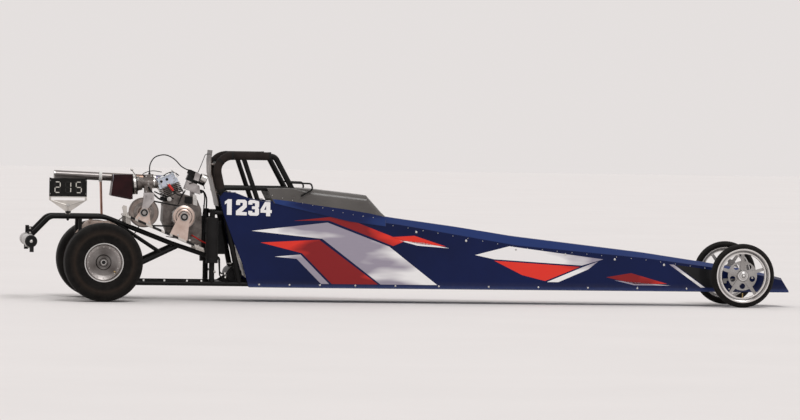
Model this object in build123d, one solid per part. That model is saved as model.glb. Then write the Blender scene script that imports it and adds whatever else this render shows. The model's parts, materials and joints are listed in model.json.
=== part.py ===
from build123d import *
import math
import os

# Junior drag racing car: rear engine, belt clutch and chain drive, tube frame with a roll cage,
# sheet body with a long tapered nose. Millimetres, +X forward, +Y to the car's left, +Z up.
# Stations are measured along X from the rear axle and shifted to the middle of the car on export.

# Driving dimensions of the whole car
wheelbase = 3810.0
skin = 3.0
seam = 0.3
weld_gap = 0.2

# Rear wheels
rear_tyre_d = 460.0
rear_tyre_w = 200.0
rear_track = 760.0
rear_rim_d = 208.0
rear_flange_d = 228.0
rear_hub_inset = 62.0
axle_d = 32.0
axle_z = rear_tyre_d / 2

# Front wheels
front_tyre_d = 380.0
front_tyre_w = 55.0
front_track = 570.0
front_rim_d = 305.0
front_flange_d = 322.0
front_hub_d = 69.0
front_z = front_tyre_d / 2
spoke_count = 5
spoke_root_half = 13.0
spoke_tip_half = 8.0
spider_d = 176.0
spider_hole_d = 34.0
spider_hole_r = 62.0

# Body shell stations: x, height of the deck, height of the shoulder line
body_stations = [
    (1250.0, 567.0, 548.0),
    (1460.0, 545.0, 500.0),
    (1760.0, 500.0, 464.0),
    (wheelbase - 1686.0, 453.0, 405.0),
    (wheelbase - 1347.0, 402.0, 350.0),
    (wheelbase - 559.0, 314.0, 282.0),
    (wheelbase - 76.0, 245.0, 222.0),
    (wheelbase + 150.0, 203.0, 186.0),
]
deck_rear_x = 1676.0
cockpit_half = 235.0
nose_half = 110.0
taper_start_x = 1460.0
nose_tip_x = wheelbase + 318.0
nose_joint_x = wheelbase + 150.0
nose_mid_x = wheelbase + 276.0
nose_mid_z = 172.0
nose_mid_shoulder = 158.0
nose_tip_z = 100.0
body_bottom_z = 87.0
shoulder_inset = 45.0
nose_tip_half = 96.0

# Cockpit side panel: rear raked edge and top edge, x and z
cockpit_rear_edge = [(871.0, body_bottom_z), (832.0, 230.0), (780.0, 353.0), (718.0, 517.0), (694.0, 616.0)]
cockpit_top_edge = [(717.0, 646.0), (777.0, 645.0), (853.0, 616.0), (928.0, 598.0), (1005.0, 595.0)]

# Windscreen: station, height of its top, radius of its upper corners
windscreen_stations = [
    (962.0, 673.0, 8.0), (1106.0, 677.0, 8.0), (1140.0, 675.0, 14.0), (1247.0, 670.0, 50.0),
    (1460.0, 648.0, 50.0), (1560.0, 637.0, 50.0), (1653.0, 535.0, 46.0), (1676.0, 514.0, 40.0)]
windscreen_top_x = 1136.0
windscreen_t = 3.0
windscreen_lap = 18.0
guard_reach = 15.0

# Frame tubes
rail_d = 26.0
rail_bend_r = 600.0
arc_share = 0.45
upper_rail_d = 22.0
cage_d = 32.0
engine_rail_d = 28.0
brace_d = 17.0
diagonal_d = 26.0
rail_z = 105.0
frame_y = cockpit_half - skin - rail_d / 2 - seam
cage_y = cockpit_half - skin - cage_d / 2 - seam
engine_rail_y = 150.0
rail_rear_x = -136.0
rail_front_x = wheelbase + 90.0
cage_top_z = 859.0
cage_bend_r = 88.0
cage_corner_r = 40.0
cage_foot_rear = (815.0, 112.0)
cage_knee_rear = (683.0, 730.0)
cage_top_rear_x = 655.5
cage_top_front_x = 1014.0
cage_foot_front = (1426.0, 112.0)
side_bar_z = 668.0
side_bar_d = 24.0
mid_bar_d = 28.0
hanger_tube_x = 70.0
hanger_y = 178.0
mid_top = (825.0, cage_top_z)
mid_foot = (1088.0, 112.0)
upright_x = 650.0
tank_tube_x = upright_x + 60
upright_top_z = 540.0
sleeve_d = 76.0
sleeve_low_z = 225.0
sleeve_top_z = 496.0
engine_rail_path = [(650.0, 262.0), (420.0, 337.0), (23.0, 489.0), (-300.0, 489.0), (-411.0, 374.0)]
engine_rail_bends = [300.0, 160.0, 60.0]
upper_rail_start = (1218.0, 490.0)
upper_rail_knee = (wheelbase - 1510.0, 338.0)
upper_rail_end = (wheelbase - 60.0, 176.0)
shoulder_z = 640.0
head_tube_x = 693.0
head_tube_z = 806.0
column_hub = (1390.0, 470.0)
column_foot = (1900.0, 330.0)
column_d = 18.0
column_hanger_x = 1640.0
floor_tubes_x = [wheelbase - 1210.0, wheelbase - 170.0]
pedal_x = 2180.0
pedal_top_z = 232.0
deflector_seats = [(head_tube_x, head_tube_z), (cage_knee_rear[0] + (cage_foot_rear[0] - cage_knee_rear[0])
                   * (cage_knee_rear[1] - shoulder_z) / (cage_knee_rear[1] - cage_foot_rear[1]), shoulder_z)]
seat_tube_x = 1040.0
seat_back_top = (717.2, 640.0)
seat_back_low = (865.0, 148.0)
seat_floor_rear = (903.0, 115.0)
seat_floor_front = (1180.0, 109.0)
seat_half = 165.0
sheet_t = 3.0
pad_t = 30.0
seat_tube_z = (seat_floor_rear[1] + (seat_floor_front[1] - seat_floor_rear[1]) * (seat_tube_x - seat_floor_rear[0])
               / (seat_floor_front[0] - seat_floor_rear[0]) - brace_d / 2 - seam)
roller_x = -417.0
roller_z = 345.0
roller_d = 73.0
roller_w = 650.0
roller_core_d = 66.0
roller_grip_y = 176.0
roller_cap_w = 22.0
roller_cap_d = 60.0

# Steering gear sizes
kingpin_y = front_track / 2 - 77
kingpin_d = 14.0
steer_arm = 92.0
spindle_d = 24.0
tie_rod_d = 12.0
tie_rod_z = 150.0
beam_d = 32.0
boss_h = 40.0
fork_gap = 0.5

# Sheets behind the driver and between the rear tyres
deflector_line = [(651, 889), (644, 833), (646, 756), (672, 657), (684, 610), (694, 560)]
deflector_half = 150.0
guard_y = 99.0

# Engine and drive
plate_rear = (143.0, 507.0)
plate_front = (604.0, 313.0)
plate_t = 12.0
plate_y = 205.0
crank = (486.0, 495.0)
jackshaft = (250.0, 518.0)
belt_y = -145.0
belt_w = 24.0
drive_pulley_r = 67.0
driven_pulley_r = 88.0
belt_drive_r = 56.0
belt_driven_r = 76.0
belt_t = 9.0
support_y = -192.0
support_t = 10.0
inner_support_y = -70.0
shaft_d = 22.0
chain_y = 104.0
chain_w = 12.0
chain_t = 10.0
axle_sprocket_r = 104.0
jack_sprocket_r = 32.0
chain_clear = 0.5
cylinder_lean = 23.6
cylinder_base_d = 122.0
cylinder_w = 128.0
fin_count = 7
fin_t = 4.0
fin_pitch = 11.0
exhaust_d = 48.0
exhaust_wall = 2.0
exhaust_y = 112.0
exhaust_rear_x = -265.0
exhaust_rear_z = 733.0
exhaust_head = (398.0, 709.0)
exhaust_bend_r = 46.0
head_half = 60.0
strut_x = 11.0
disc_y = -92.0
disc_d = 190.0
ignition_top = [(510.0, 711.0), (582.0, 679.0)]
control_h = 64.0
can_d = 44.0
battery_x = 638.0
battery_top_z = 452.0
battery_half = 95.0
tank = (790.0, 162.0)
tank_d = 90.0
tank_half = 150.0
strut_d = 15.0

# Whole-car placement: the origin is the middle of the box at floor height
rear_end_x = roller_x - roller_d / 2
middle_x = (rear_end_x + nose_tip_x) / 2


def save(name, *solids):
    """Write one node, moved from stations to the car's own origin."""
    shape = Pos(-middle_x, 0, 0) * Compound(children=[s for s in solids])
    export_step(shape, f"parts/{name}.step")


def rod(start, end, diameter):
    """Round bar between two points."""
    axis = Vector(*end) - Vector(*start)
    plane = Plane(origin=start, z_dir=axis)
    return extrude(plane * Circle(diameter / 2), axis.length)


def side_pair(make):
    """The same piece on the right and on the left."""
    return [make(-1), make(1)]


def profile_slab(points, y_from, y_to):
    """Plate cut to an X-Z outline, between two Y values."""
    low, high = sorted((y_from, y_to))
    outline = make_face(Polyline(*points, close=True))
    face = Plane(origin=(0, low, 0), x_dir=(1, 0, 0), z_dir=(0, -1, 0)) * outline
    return extrude(face, high - low, dir=(0, 1, 0))


def block(x, y, z):
    """Box given by its X, Y and Z ranges."""
    return Pos((x[0] + x[1]) / 2, (y[0] + y[1]) / 2, (z[0] + z[1]) / 2) * Box(
        x[1] - x[0], y[1] - y[0], z[1] - z[0])


def lateral(x, z, y_from, y_to, diameter):
    """Round bar across the car."""
    return rod((x, y_from, z), (x, y_to, z), diameter)


def body_half(x):
    """Half width of the body shell's outside at a station."""
    if x <= taper_start_x:
        return cockpit_half
    share = (x - taper_start_x) / (nose_tip_x - taper_start_x)
    return cockpit_half + (nose_half - cockpit_half) * share


def deck_height(x):
    """Height of the deck at a station, straight between the stations of the table."""
    for (x0, z0, s0), (x1, z1, s1) in zip(body_stations, body_stations[1:]):
        if x <= x1:
            return z0 + (z1 - z0) * (x - x0) / (x1 - x0)
    return body_stations[-1][1]


def shoulder_height(x):
    """Height of the shoulder line at a station."""
    for (x0, z0, s0), (x1, z1, s1) in zip(body_stations, body_stations[1:]):
        if x <= x1:
            return s0 + (s1 - s0) * (x - x0) / (x1 - x0)
    return body_stations[-1][2]


def rail_y(x):
    """Middle of the lower rail, just inside the side panel."""
    return body_half(x) - skin - rail_d / 2 - seam


def section_face(x, points):
    """Closed section of straight lines across the car at a station, y and z."""
    plane = Plane(origin=(x, 0, 0), x_dir=(0, 1, 0), z_dir=(1, 0, 0))
    return plane * make_face(Polyline(*points, close=True))


def plate_point(x, lift=0.0):
    """Point over the engine plate's top face at a station, lifted square to it."""
    slope = (plate_front[1] - plate_rear[1]) / (plate_front[0] - plate_rear[0])
    size = math.hypot(1, slope)
    z = plate_rear[1] + slope * (x - plate_rear[0])
    return (x - slope / size * lift, z + lift / size)


def rear_tyre(side):
    """Wide slick with rounded shoulders."""
    half = rear_tyre_w / 2
    bead = rear_rim_d / 2 + seam
    outer = rear_tyre_d / 2
    mid = side * rear_track / 2
    with BuildPart() as tyre:
        with BuildSketch(Plane(origin=(0, 0, axle_z), x_dir=(0, 1, 0), z_dir=(1, 0, 0))):
            with BuildLine():
                Polyline((-half + 22, bead), (half - 22, bead), (half - 8, bead + 14), (half, bead + 62))
                Line((half, bead + 62), (half, outer - 38))
                ThreePointArc((half, outer - 38), (half - 10, outer - 11), (half - 36, outer - 2))
                ThreePointArc((half - 36, outer - 2), (0, outer), (-half + 36, outer - 2))
                ThreePointArc((-half + 36, outer - 2), (-half + 10, outer - 11), (-half, outer - 38))
                Polyline((-half, outer - 38), (-half, bead + 62), (-half + 8, bead + 14), (-half + 22, bead))
            make_face()
        revolve(axis=Axis((0, 0, axle_z), (0, 1, 0)))
    return Pos(0, mid, 0) * tyre.part


def rear_wheel(side):
    """Spun deep-dish wheel with its hub, dish open to the outside."""
    half = rear_tyre_w / 2
    rim = rear_rim_d / 2
    lip = rear_flange_d / 2
    wall = 4.0
    dish = half - rear_hub_inset
    bore = axle_d / 2
    outline = [
        (-half + 22, rim), (half - 22, rim), (half - 22 + 12, lip), (half - 22 + 12 - wall, lip),
        (half - 26 - wall, rim - wall), (dish + 8, rim - wall), (dish, rim - 26), (dish, 46),
        (dish + 10, 40), (dish + 10, 26), (dish + 16, 22), (dish + 16, bore),
        (dish - 44, bore), (dish - 44, 40), (dish - wall, 46), (dish - wall, rim - 30),
        (dish - 2, rim - wall - 2), (-half + 26 + wall, rim - wall), (-half + 22 - 12 + wall, lip),
        (-half + 22 - 12, lip),
    ]
    plane = Plane(origin=(0, 0, axle_z), x_dir=(0, side, 0), z_dir=(side, 0, 0))
    profile = plane * make_face(Polyline(*outline, close=True))
    return Pos(0, side * rear_track / 2, 0) * revolve(profile, Axis((0, 0, axle_z), (0, 1, 0)))


def front_tyre(side):
    """Narrow front tyre."""
    half = front_tyre_w / 2
    bead = front_rim_d / 2 + seam
    outer = front_tyre_d / 2
    with BuildPart() as tyre:
        with BuildSketch(Plane(origin=(0, 0, front_z), x_dir=(0, 1, 0), z_dir=(1, 0, 0))):
            with BuildLine():
                Polyline((-half + 14, bead), (half - 14, bead), (half - 3, bead + 9))
                ThreePointArc((half - 3, bead + 9), (half, bead + 18), (half - 9, outer - 8))
                ThreePointArc((half - 9, outer - 8), (0, outer), (-half + 9, outer - 8))
                ThreePointArc((-half + 9, outer - 8), (-half, bead + 18), (-half + 3, bead + 9))
                Line((-half + 3, bead + 9), (-half + 14, bead))
            make_face()
        revolve(axis=Axis((0, 0, front_z), (0, 1, 0)))
    return Pos(wheelbase, side * front_track / 2, 0) * tyre.part


def front_wheel(side):
    """Rim, spokes and hub of a front wheel as one machined piece."""
    half = front_tyre_w / 2
    rim = front_rim_d / 2
    lip = front_flange_d / 2
    hub = front_hub_d / 2
    band = [
        (-half + 14, rim), (half - 14, rim), (half - 8, lip), (half - 12, lip), (half - 18, rim - 5),
        (half - 22, rim - 18), (half - 26, rim - 22), (-half + 20, rim - 16), (-half + 12, rim - 5),
        (-half + 12, lip), (-half + 8, lip),
    ]
    barrel = [(-20, 12.5), (-20, hub - 4), (-14, hub), (12, hub), (18, hub - 8), (30, 8), (30, 0.0),
              (10, 0.0), (10, 12.5)]
    plane = Plane(origin=(0, 0, front_z), x_dir=(0, side, 0), z_dir=(side, 0, 0))
    axis = Axis((0, 0, front_z), (0, 1, 0))
    wheel = revolve(plane * make_face(Polyline(*band, close=True)), axis)
    wheel += revolve(plane * make_face(Polyline(*barrel, close=True)), axis)
    spoke = extrude(
        Plane(origin=(0, side * -8, front_z), x_dir=(1, 0, 0), z_dir=(0, side, 0))
        * make_face(Polyline((-spoke_root_half, hub - 6), (spoke_root_half, hub - 6),
                             (spoke_tip_half, rim - 12), (-spoke_tip_half, rim - 12), close=True)), 12)
    wheel += lateral(0, front_z, side * -8, side * -3, spider_d)
    hole = lateral(0, front_z - side * spider_hole_r, -20, 20, spider_hole_d)
    for k in range(spoke_count):
        turn = k * 360 / spoke_count
        wheel -= hole.rotate(axis, turn + 180 / spoke_count)
        wheel += spoke.rotate(axis, turn)
    return Pos(wheelbase, side * front_track / 2, 0) * wheel


def front_axle():
    """Beam through the body with an upright boss at each end for the kingpin."""
    beam = lateral(wheelbase, front_z, -kingpin_y, kingpin_y, beam_d)
    for side in (-1, 1):
        boss = rod((wheelbase, side * kingpin_y, front_z - boss_h / 2),
                   (wheelbase, side * kingpin_y, front_z + boss_h / 2), 30)
        beam += boss
        beam -= rod((wheelbase, side * kingpin_y, front_z - boss_h), (wheelbase, side * kingpin_y, front_z + boss_h),
                    kingpin_d + 2 * fork_gap)
        y = side * rail_y(wheelbase)
        beam += block((wheelbase - 8, wheelbase + 8), (y - 6, y + 6), (rail_z, front_z))
        beam -= rod((wheelbase - 100, side * rail_y(wheelbase - 100), rail_z),
                    (rail_front_x, side * rail_y(rail_front_x), rail_z), rail_d + 2 * weld_gap)
    return largest(beam)


def knuckle(side):
    """Fork round the axle boss with kingpin, spindle and steering arm."""
    y = side * kingpin_y
    top = front_z + boss_h / 2 + fork_gap
    low = front_z - boss_h / 2 - fork_gap
    body = rod((wheelbase, y, low - 12), (wheelbase, y, top + 12), kingpin_d)
    for z0, z1 in ((low - 12, low), (top, top + 12)):
        body += rod((wheelbase, y, z0), (wheelbase, y, z1), 34)
        body += block((wheelbase - 15, wheelbase + 15), sorted((y, y + side * 32)), (z0, z1))
    body += block((wheelbase - 15, wheelbase + 15), sorted((y + side * 20, y + side * 32)), (low - 12, top + 12))
    body += rod((wheelbase, y + side * 30, front_z), (wheelbase, side * (front_track / 2 + 8), front_z), spindle_d)
    arm = block((wheelbase - steer_arm, wheelbase), (y - 11, y + 11), (low - 12, low))
    arm += rod((wheelbase - steer_arm, y, low - 12), (wheelbase - steer_arm, y, low), 24)
    pin = rod((wheelbase - steer_arm, y, tie_rod_z - 9), (wheelbase - steer_arm, y, low - 6), 8)
    return body + arm + pin


def tie_rod():
    """Rod between the steering arms with an eye at each end."""
    x = wheelbase - steer_arm
    bar = lateral(x, tie_rod_z, -kingpin_y + 8, kingpin_y - 8, tie_rod_d)
    for side in (-1, 1):
        eye = rod((x, side * kingpin_y, tie_rod_z - 7), (x, side * kingpin_y, tie_rod_z + 7), 22)
        bar += eye
    for side in (-1, 1):
        bar -= rod((x, side * kingpin_y, tie_rod_z - 20), (x, side * kingpin_y, tie_rod_z + 20), 8 + 2 * fork_gap)
    return bar


def bent_tube(points, radii, diameter):
    """Round bar along points, bent at each inner one."""
    path = FilletPolyline(*points, radius=radii)
    start = Vector(*points[0])
    plane = Plane(origin=start, z_dir=Vector(*points[1]) - start)
    return sweep(plane * Circle(diameter / 2), path)


def cord(points, diameter):
    """Held cable or hose: straight runs joined by arcs as wide as the runs allow."""
    spots = [Vector(*point) for point in points]
    radii = []
    for before, here, after in zip(spots, spots[1:], spots[2:]):
        run = min((here - before).length, (after - here).length)
        half_turn = math.radians((here - before).get_angle(after - here)) / 2
        radii.append(arc_share * run / math.tan(half_turn))
    tube = bent_tube(points, radii, diameter)
    print("cord of diameter", diameter, "arc radii", [round(radius) for radius in radii],
          "length", round(tube.volume / (math.pi * diameter ** 2 / 4)))
    return tube


def lower_rail(side, grow=0.0):
    """Straight rail behind the taper and a straight run to the nose."""
    points = [(rail_rear_x, side * frame_y, rail_z), (taper_start_x, side * frame_y, rail_z),
              (rail_front_x, side * rail_y(rail_front_x), rail_z)]
    return bent_tube(points, rail_bend_r, rail_d + 2 * grow)


def upper_rail_points(side):
    """Start, knee and front end of an upper rail."""
    return [(upper_rail_start[0], side * (frame_y - 2), upper_rail_start[1]),
            (upper_rail_knee[0], side * rail_y(upper_rail_knee[0]), upper_rail_knee[1]),
            (upper_rail_end[0], side * rail_y(rail_front_x), upper_rail_end[1])]


def upper_rail(side, grow=0.0):
    """Rail under the shoulder line from the front cage leg to the nose."""
    start, knee, end = upper_rail_points(side)
    diameter = upper_rail_d + 2 * grow
    return rod(start, knee, diameter) + rod(knee, end, diameter) + Pos(*knee) * Sphere(diameter / 2)


def cage_loop(side, grow=0.0):
    """Side hoop: rear leg, top bar and front leg bent from one tube."""
    y = side * cage_y
    points = [(cage_foot_rear[0], y, rail_z), (cage_top_rear_x, y, cage_top_z), (cage_top_front_x, y, cage_top_z),
              (cage_foot_front[0], y, rail_z)]
    return bent_tube(points, [cage_bend_r, cage_corner_r], cage_d + 2 * grow)


def column_hanger():
    """Tube between the upper rails with a hanging block for the steering shaft."""
    x = column_hanger_x
    start, knee, _ = upper_rail_points(1)
    share = (x - start[0]) / (knee[0] - start[0])
    z = start[2] + (knee[2] - start[2]) * share
    half = start[1] + (knee[1] - start[1]) * share
    share = (x - column_hub[0]) / (column_foot[0] - column_hub[0])
    shaft_z = column_hub[1] + (column_foot[1] - column_hub[1]) * share
    bar = lateral(x, z, -half, half, brace_d)
    bar += block((x - 8, x + 8), (-16, 16), (shaft_z - 16, z))
    bar -= rod((column_hub[0], 0, column_hub[1]), (column_foot[0], 0, column_foot[1]), column_d + 2 * seam)
    for side in (-1, 1):
        bar = largest(bar - upper_rail(side, weld_gap))
    return bar


def along(start, end, height):
    """X of the straight line between two X-Z points at a height."""
    return start[0] + (end[0] - start[0]) * (height - start[1]) / (end[1] - start[1])


def cage_braces(big_rails, big_loops):
    """Mid diagonal and the two side bars on each side, cut to fit the hoop."""
    found = []
    for side, big_rail, big_loop in zip((-1, 1), big_rails, big_loops):
        y = side * cage_y
        ends = ((mid_top[0], y, mid_top[1]), (mid_foot[0], y, rail_z))
        mid = largest(rod(*ends, mid_bar_d) - big_loop - big_rail)
        big_mid = rod(*ends, mid_bar_d + 2 * weld_gap)
        x_mid = along(mid_top, mid_foot, side_bar_z)
        x_rear = along(cage_foot_rear, cage_knee_rear, side_bar_z)
        x_front = along((cage_top_front_x, cage_top_z), cage_foot_front, side_bar_z)
        for x0, x1 in ((x_rear, x_mid), (x_mid, x_front)):
            bar = rod((x0, y, side_bar_z), (x1, y, side_bar_z), side_bar_d)
            found.append(largest(bar - big_loop - big_mid))
        found.append(mid)
    return found


def largest(shape):
    """The biggest solid of a cut."""
    return max(shape.solids(), key=lambda s: s.volume)


def engine_rail(side, grow=0.0):
    """Bent tube that carries the engine and turns down to the push roller."""
    points = [(x, side * engine_rail_y, z) for x, z in engine_rail_path]
    return bent_tube(points, engine_rail_bends, engine_rail_d + 2 * grow)


def cross_tubes(big_rails, big_loops):
    """Tubes across the frame: x, z, half length, diameter."""
    table = [
        (-hanger_tube_x, rail_z, frame_y, rail_d),
        (hanger_tube_x, rail_z, frame_y, rail_d),
        (tank_tube_x, rail_z, frame_y, rail_d),
        (cage_foot_front[0] + 40, rail_z, frame_y, rail_d),
        (seat_tube_x, seat_tube_z, frame_y, brace_d),
        (along(cage_foot_rear, cage_knee_rear, shoulder_z), shoulder_z, cage_y, mid_bar_d),
        (head_tube_x, head_tube_z, cage_y, mid_bar_d),
        (cage_top_front_x - 4, cage_top_z - 3, cage_y, mid_bar_d),
    ] + [(x, rail_z, rail_y(x), upper_rail_d) for x in floor_tubes_x]
    found = []
    for x, z, half, diameter in table:
        bar = lateral(x, z, -half, half, diameter)
        for cutter in big_loops + big_rails:
            bar = largest(bar - cutter)
        found.append(bar)
    return found + [column_hanger()]


def frame_uprights(big_rails, big_loops):
    """Upright on each side, its tie to the cage and the engine cross tube."""
    found = []
    for side, rail, loop in zip((-1, 1), big_rails, big_loops):
        y = side * cage_y
        post = rod((upright_x, y, rail_z), (upright_x, y, upright_top_z), cage_d)
        post = largest(post - rail)
        big_post = rod((upright_x, y, rail_z), (upright_x, y, upright_top_z + 40), cage_d + 2 * weld_gap)
        tie_z = upright_top_z - 16
        tie = rod((upright_x, y, tie_z), (along(cage_foot_rear, cage_knee_rear, tie_z), y, tie_z), engine_rail_d - 4)
        tie = largest(largest(tie - big_post) - loop)
        found += [post, tie]
    cross = lateral(upright_x, engine_rail_path[0][1], -cage_y, cage_y, engine_rail_d)
    for side in (-1, 1):
        cross = largest(cross - rod((upright_x, side * cage_y, 0), (upright_x, side * cage_y, 600),
                                    cage_d + 2 * weld_gap))
    found.append(cross)
    return found


def rear_braces(big_rails, big_engine_rails):
    """Long diagonals, rear posts and thin braces between the rails."""
    found = []
    for side, rail, carrier in zip((-1, 1), big_rails, big_engine_rails):
        outer = side * frame_y
        inner = side * engine_rail_y
        ends = ((-8, outer, rail_z), (455, inner, 325))
        diagonal = largest(rod(*ends, diagonal_d) - rail - carrier)
        big_diagonal = rod(*ends, diagonal_d + 2 * weld_gap)
        post = rod((rail_rear_x + 13, outer, rail_z), (rail_rear_x + 13, inner, 489), engine_rail_d - 6)
        post = largest(largest(post - rail) - carrier)
        thin = rod((362, side * 165, 280), (60, inner, 474), brace_d)
        thin = largest(largest(thin - big_diagonal) - carrier)
        found += [diagonal, post, thin]
    return found


def axle_hanger(side):
    """Plate on the two short cross tubes with a flanged bearing for the axle."""
    y = side * hanger_y
    foot = hanger_tube_x + 12
    outline = [(-foot, rail_z), (foot, rail_z), (62, axle_z + 20), (36, axle_z + 52), (-36, axle_z + 52),
               (-62, axle_z + 20)]
    plate = profile_slab(outline, y - 4, y + 4)
    plate += lateral(0, axle_z, y - side * 4, y - side * 22, 84)
    plate -= lateral(0, axle_z, y - 40, y + 40, axle_d + 2 * seam)
    for x in (-hanger_tube_x, hanger_tube_x):
        plate -= lateral(x, rail_z, y - 40, y + 40, rail_d + 2 * weld_gap)
    return largest(plate)


def axle_shaft():
    """Live axle between the two wheel hubs."""
    reach = rear_track / 2 + rear_tyre_w / 2 - rear_hub_inset + 10
    shaft = lateral(0, axle_z, -reach, reach, axle_d - 2 * weld_gap)
    return shaft


def sprocket():
    """Chain wheel on the axle with its hub and lightening holes."""
    wheel = lateral(0, axle_z, chain_y - 3, chain_y + 3, 2 * axle_sprocket_r)
    wheel += lateral(0, axle_z, chain_y - 24, chain_y + 3, 64)
    wheel -= lateral(0, axle_z, chain_y - 40, chain_y + 40, axle_d)
    for k in range(6):
        turn = math.radians(60 * k + 30)
        hole = lateral(68 * math.cos(turn), axle_z + 68 * math.sin(turn), chain_y - 10, chain_y + 10, 38)
        wheel -= hole
    return wheel


def brake_disc():
    """Brake disc on the axle with its carrier."""
    disc = lateral(0, axle_z, disc_y - 3, disc_y + 3, disc_d)
    disc += lateral(0, axle_z, disc_y - 3, disc_y + 26, 64)
    return disc - lateral(0, axle_z, disc_y - 40, disc_y + 40, axle_d)


def belt_loop(a, ra, b, rb, y, width, thick):
    """Endless band round two wheels of different size."""
    outer = hull_of_two(a, ra + thick, b, rb + thick, y, width)
    inner = hull_of_two(a, ra, b, rb, y, width + 2)
    return outer - inner


def hull_of_two(a, ra, b, rb, y, width):
    """Slab whose outline is two circles and their outer tangents."""
    dx, dz = b[0] - a[0], b[1] - a[1]
    gap = math.hypot(dx, dz)
    base = math.atan2(dz, dx)
    lean = math.acos((ra - rb) / gap)
    corners = []
    for turn in (lean, -lean):
        corners.append((a[0] + ra * math.cos(base + turn), a[1] + ra * math.sin(base + turn)))
        corners.append((b[0] + rb * math.cos(base + turn), b[1] + rb * math.sin(base + turn)))
    a_up, b_up, a_low, b_low = corners
    slab = profile_slab([a_up, b_up, b_low, a_low], y - width / 2, y + width / 2)
    slab += lateral(a[0], a[1], y - width / 2, y + width / 2, 2 * ra)
    return slab + lateral(b[0], b[1], y - width / 2, y + width / 2, 2 * rb)


def pulley(centre, radius, belt_radius, shaft_from, shaft_to):
    """Two cone-faced discs with the belt between them, on a shaft."""
    x, z = centre
    half = belt_w / 2
    inner = [(half - 6, belt_radius - 12), (half + 1, belt_radius + 2), (half + 7, radius), (half + 11, radius),
             (half + 14, 34), (half + 26, 30), (half + 26, 0), (0, 0), (0, belt_radius - 12)]
    plane = Plane(origin=(x, belt_y, z), x_dir=(0, -1, 0), z_dir=(-1, 0, 0))
    axis = Axis((x, belt_y, z), (0, 1, 0))
    near = revolve(plane * make_face(Polyline(*inner, close=True)), axis)
    plane = Plane(origin=(x, belt_y, z), x_dir=(0, 1, 0), z_dir=(1, 0, 0))
    far = revolve(plane * make_face(Polyline(*inner, close=True)), axis)
    return near + far + lateral(x, z, shaft_from, shaft_to, shaft_d - 2 * seam)


def clutch_support(centre, base_rear, base_front, width, y):
    """Tapered plate that holds a bearing over the engine plate."""
    x, z = centre
    outline = [plate_point(base_rear), plate_point(base_front), (x + width, z), (x + width * 0.6, z + 24),
               (x - width * 0.6, z + 24), (x - width, z)]
    plate = profile_slab(outline, y - support_t / 2, y + support_t / 2)
    plate += lateral(x, z, y - support_t / 2 - 8, y + support_t / 2, 44)
    return plate - lateral(x, z, y - 30, y + 30, shaft_d)


def inner_support():
    """Bearing plate inside the driven pulley, reaching up under the carburettor."""
    x, z = jackshaft
    low, high = inner_support_y - support_t / 2, inner_support_y + support_t / 2
    outline = [plate_point(205), plate_point(296), (311, 560), (306, 631), (262, 631), (226, 560)]
    plate = profile_slab(outline, low, high) + lateral(x, z, low - 6, high, 44)
    return plate - lateral(x, z, low - 20, high + 20, shaft_d)


def engine_plate(big_engine_rails):
    """Sloped plate with a window for each drive run and feet on the rails."""
    low_rear = plate_point(plate_rear[0], -plate_t)
    low_front = plate_point(plate_front[0], -plate_t)
    plate = profile_slab([plate_rear, plate_front, low_front, low_rear], -plate_y, plate_y - 30)
    window = profile_slab([(158, 600), (342, 600), (342, 300), (158, 300)], -178, -112)
    plate -= window
    plate -= profile_slab([(100, 600), (318, 600), (318, 300), (100, 300)], chain_y - 18, chain_y + 18)
    plate -= profile_slab([(380, 600), (560, 600), (560, 250), (380, 250)], -60, 60)
    plate += profile_slab([(143, 495), (152, 500), (147, 556), (127, 560), (119, 547), (131, 500)], -190, -184)
    for side, carrier in zip((-1, 1), big_engine_rails):
        y = side * engine_rail_y
        for x0, x1, z_low in ((560, 612, 270), (146, 176, 430)):
            feet = [plate_point(x0, -plate_t / 2), plate_point(x1, -plate_t / 2), (x1, z_low), (x0, z_low)]
            plate += profile_slab(feet, y - 7, y + 7)
        plate -= carrier
    return largest(plate)


def crankcase():
    """Cast crankcase standing on the plate, with a round flank over the crank."""
    x, z = crank
    rear_foot = plate_point(396, seam)
    front_foot = plate_point(598, seam)
    outline = [rear_foot, front_foot, (600, 420), (596, 540), (566, 606), (452, 640), (372, 575), (366, 470)]
    case = profile_slab(outline, -78, 92)
    case += lateral(x, z, -96, -78, 150)
    case += lateral(x, z, 92, 120, 190)
    case -= lateral(x, z, -140, 160, 26)
    return case


def lean_point(distance, across=0.0):
    """Point along the leaning cylinder axis from the crank, and across it."""
    turn = math.radians(cylinder_lean)
    return (crank[0] - math.sin(turn) * distance + math.cos(turn) * across,
            crank[1] + math.cos(turn) * distance + math.sin(turn) * across)


def lean_slab(from_d, to_d, half, y_from, y_to):
    """Rectangular slab square to the cylinder axis."""
    corners = [lean_point(from_d, -half), lean_point(from_d, half), lean_point(to_d, half), lean_point(to_d, -half)]
    return profile_slab(corners, y_from, y_to)


def cylinder():
    """Barrel with a stack of square cooling fins."""
    stack = fin_count * fin_pitch
    start = Vector(lean_point(cylinder_base_d)[0], 0, lean_point(cylinder_base_d)[1])
    end = Vector(lean_point(cylinder_base_d + stack)[0], 0, lean_point(cylinder_base_d + stack)[1])
    barrel = rod(tuple(start), tuple(end), 92)
    for k in range(fin_count):
        d = cylinder_base_d + fin_pitch * (k + 0.5)
        barrel += lean_slab(d - fin_t / 2, d + fin_t / 2, cylinder_w / 2, -cylinder_w / 2, cylinder_w / 2)
    return largest(barrel - crankcase_block())


def crankcase_block():
    """The crankcase outline grown by the seam, to cut the barrel."""
    outline = [plate_point(396), plate_point(598), (600 + seam, 420), (596 + seam, 540), (566, 606 + seam),
               (452, 640 + seam), (372 - seam, 575 + seam), (366 - seam, 470)]
    return profile_slab(outline, -78 - seam, 92 + seam)


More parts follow.
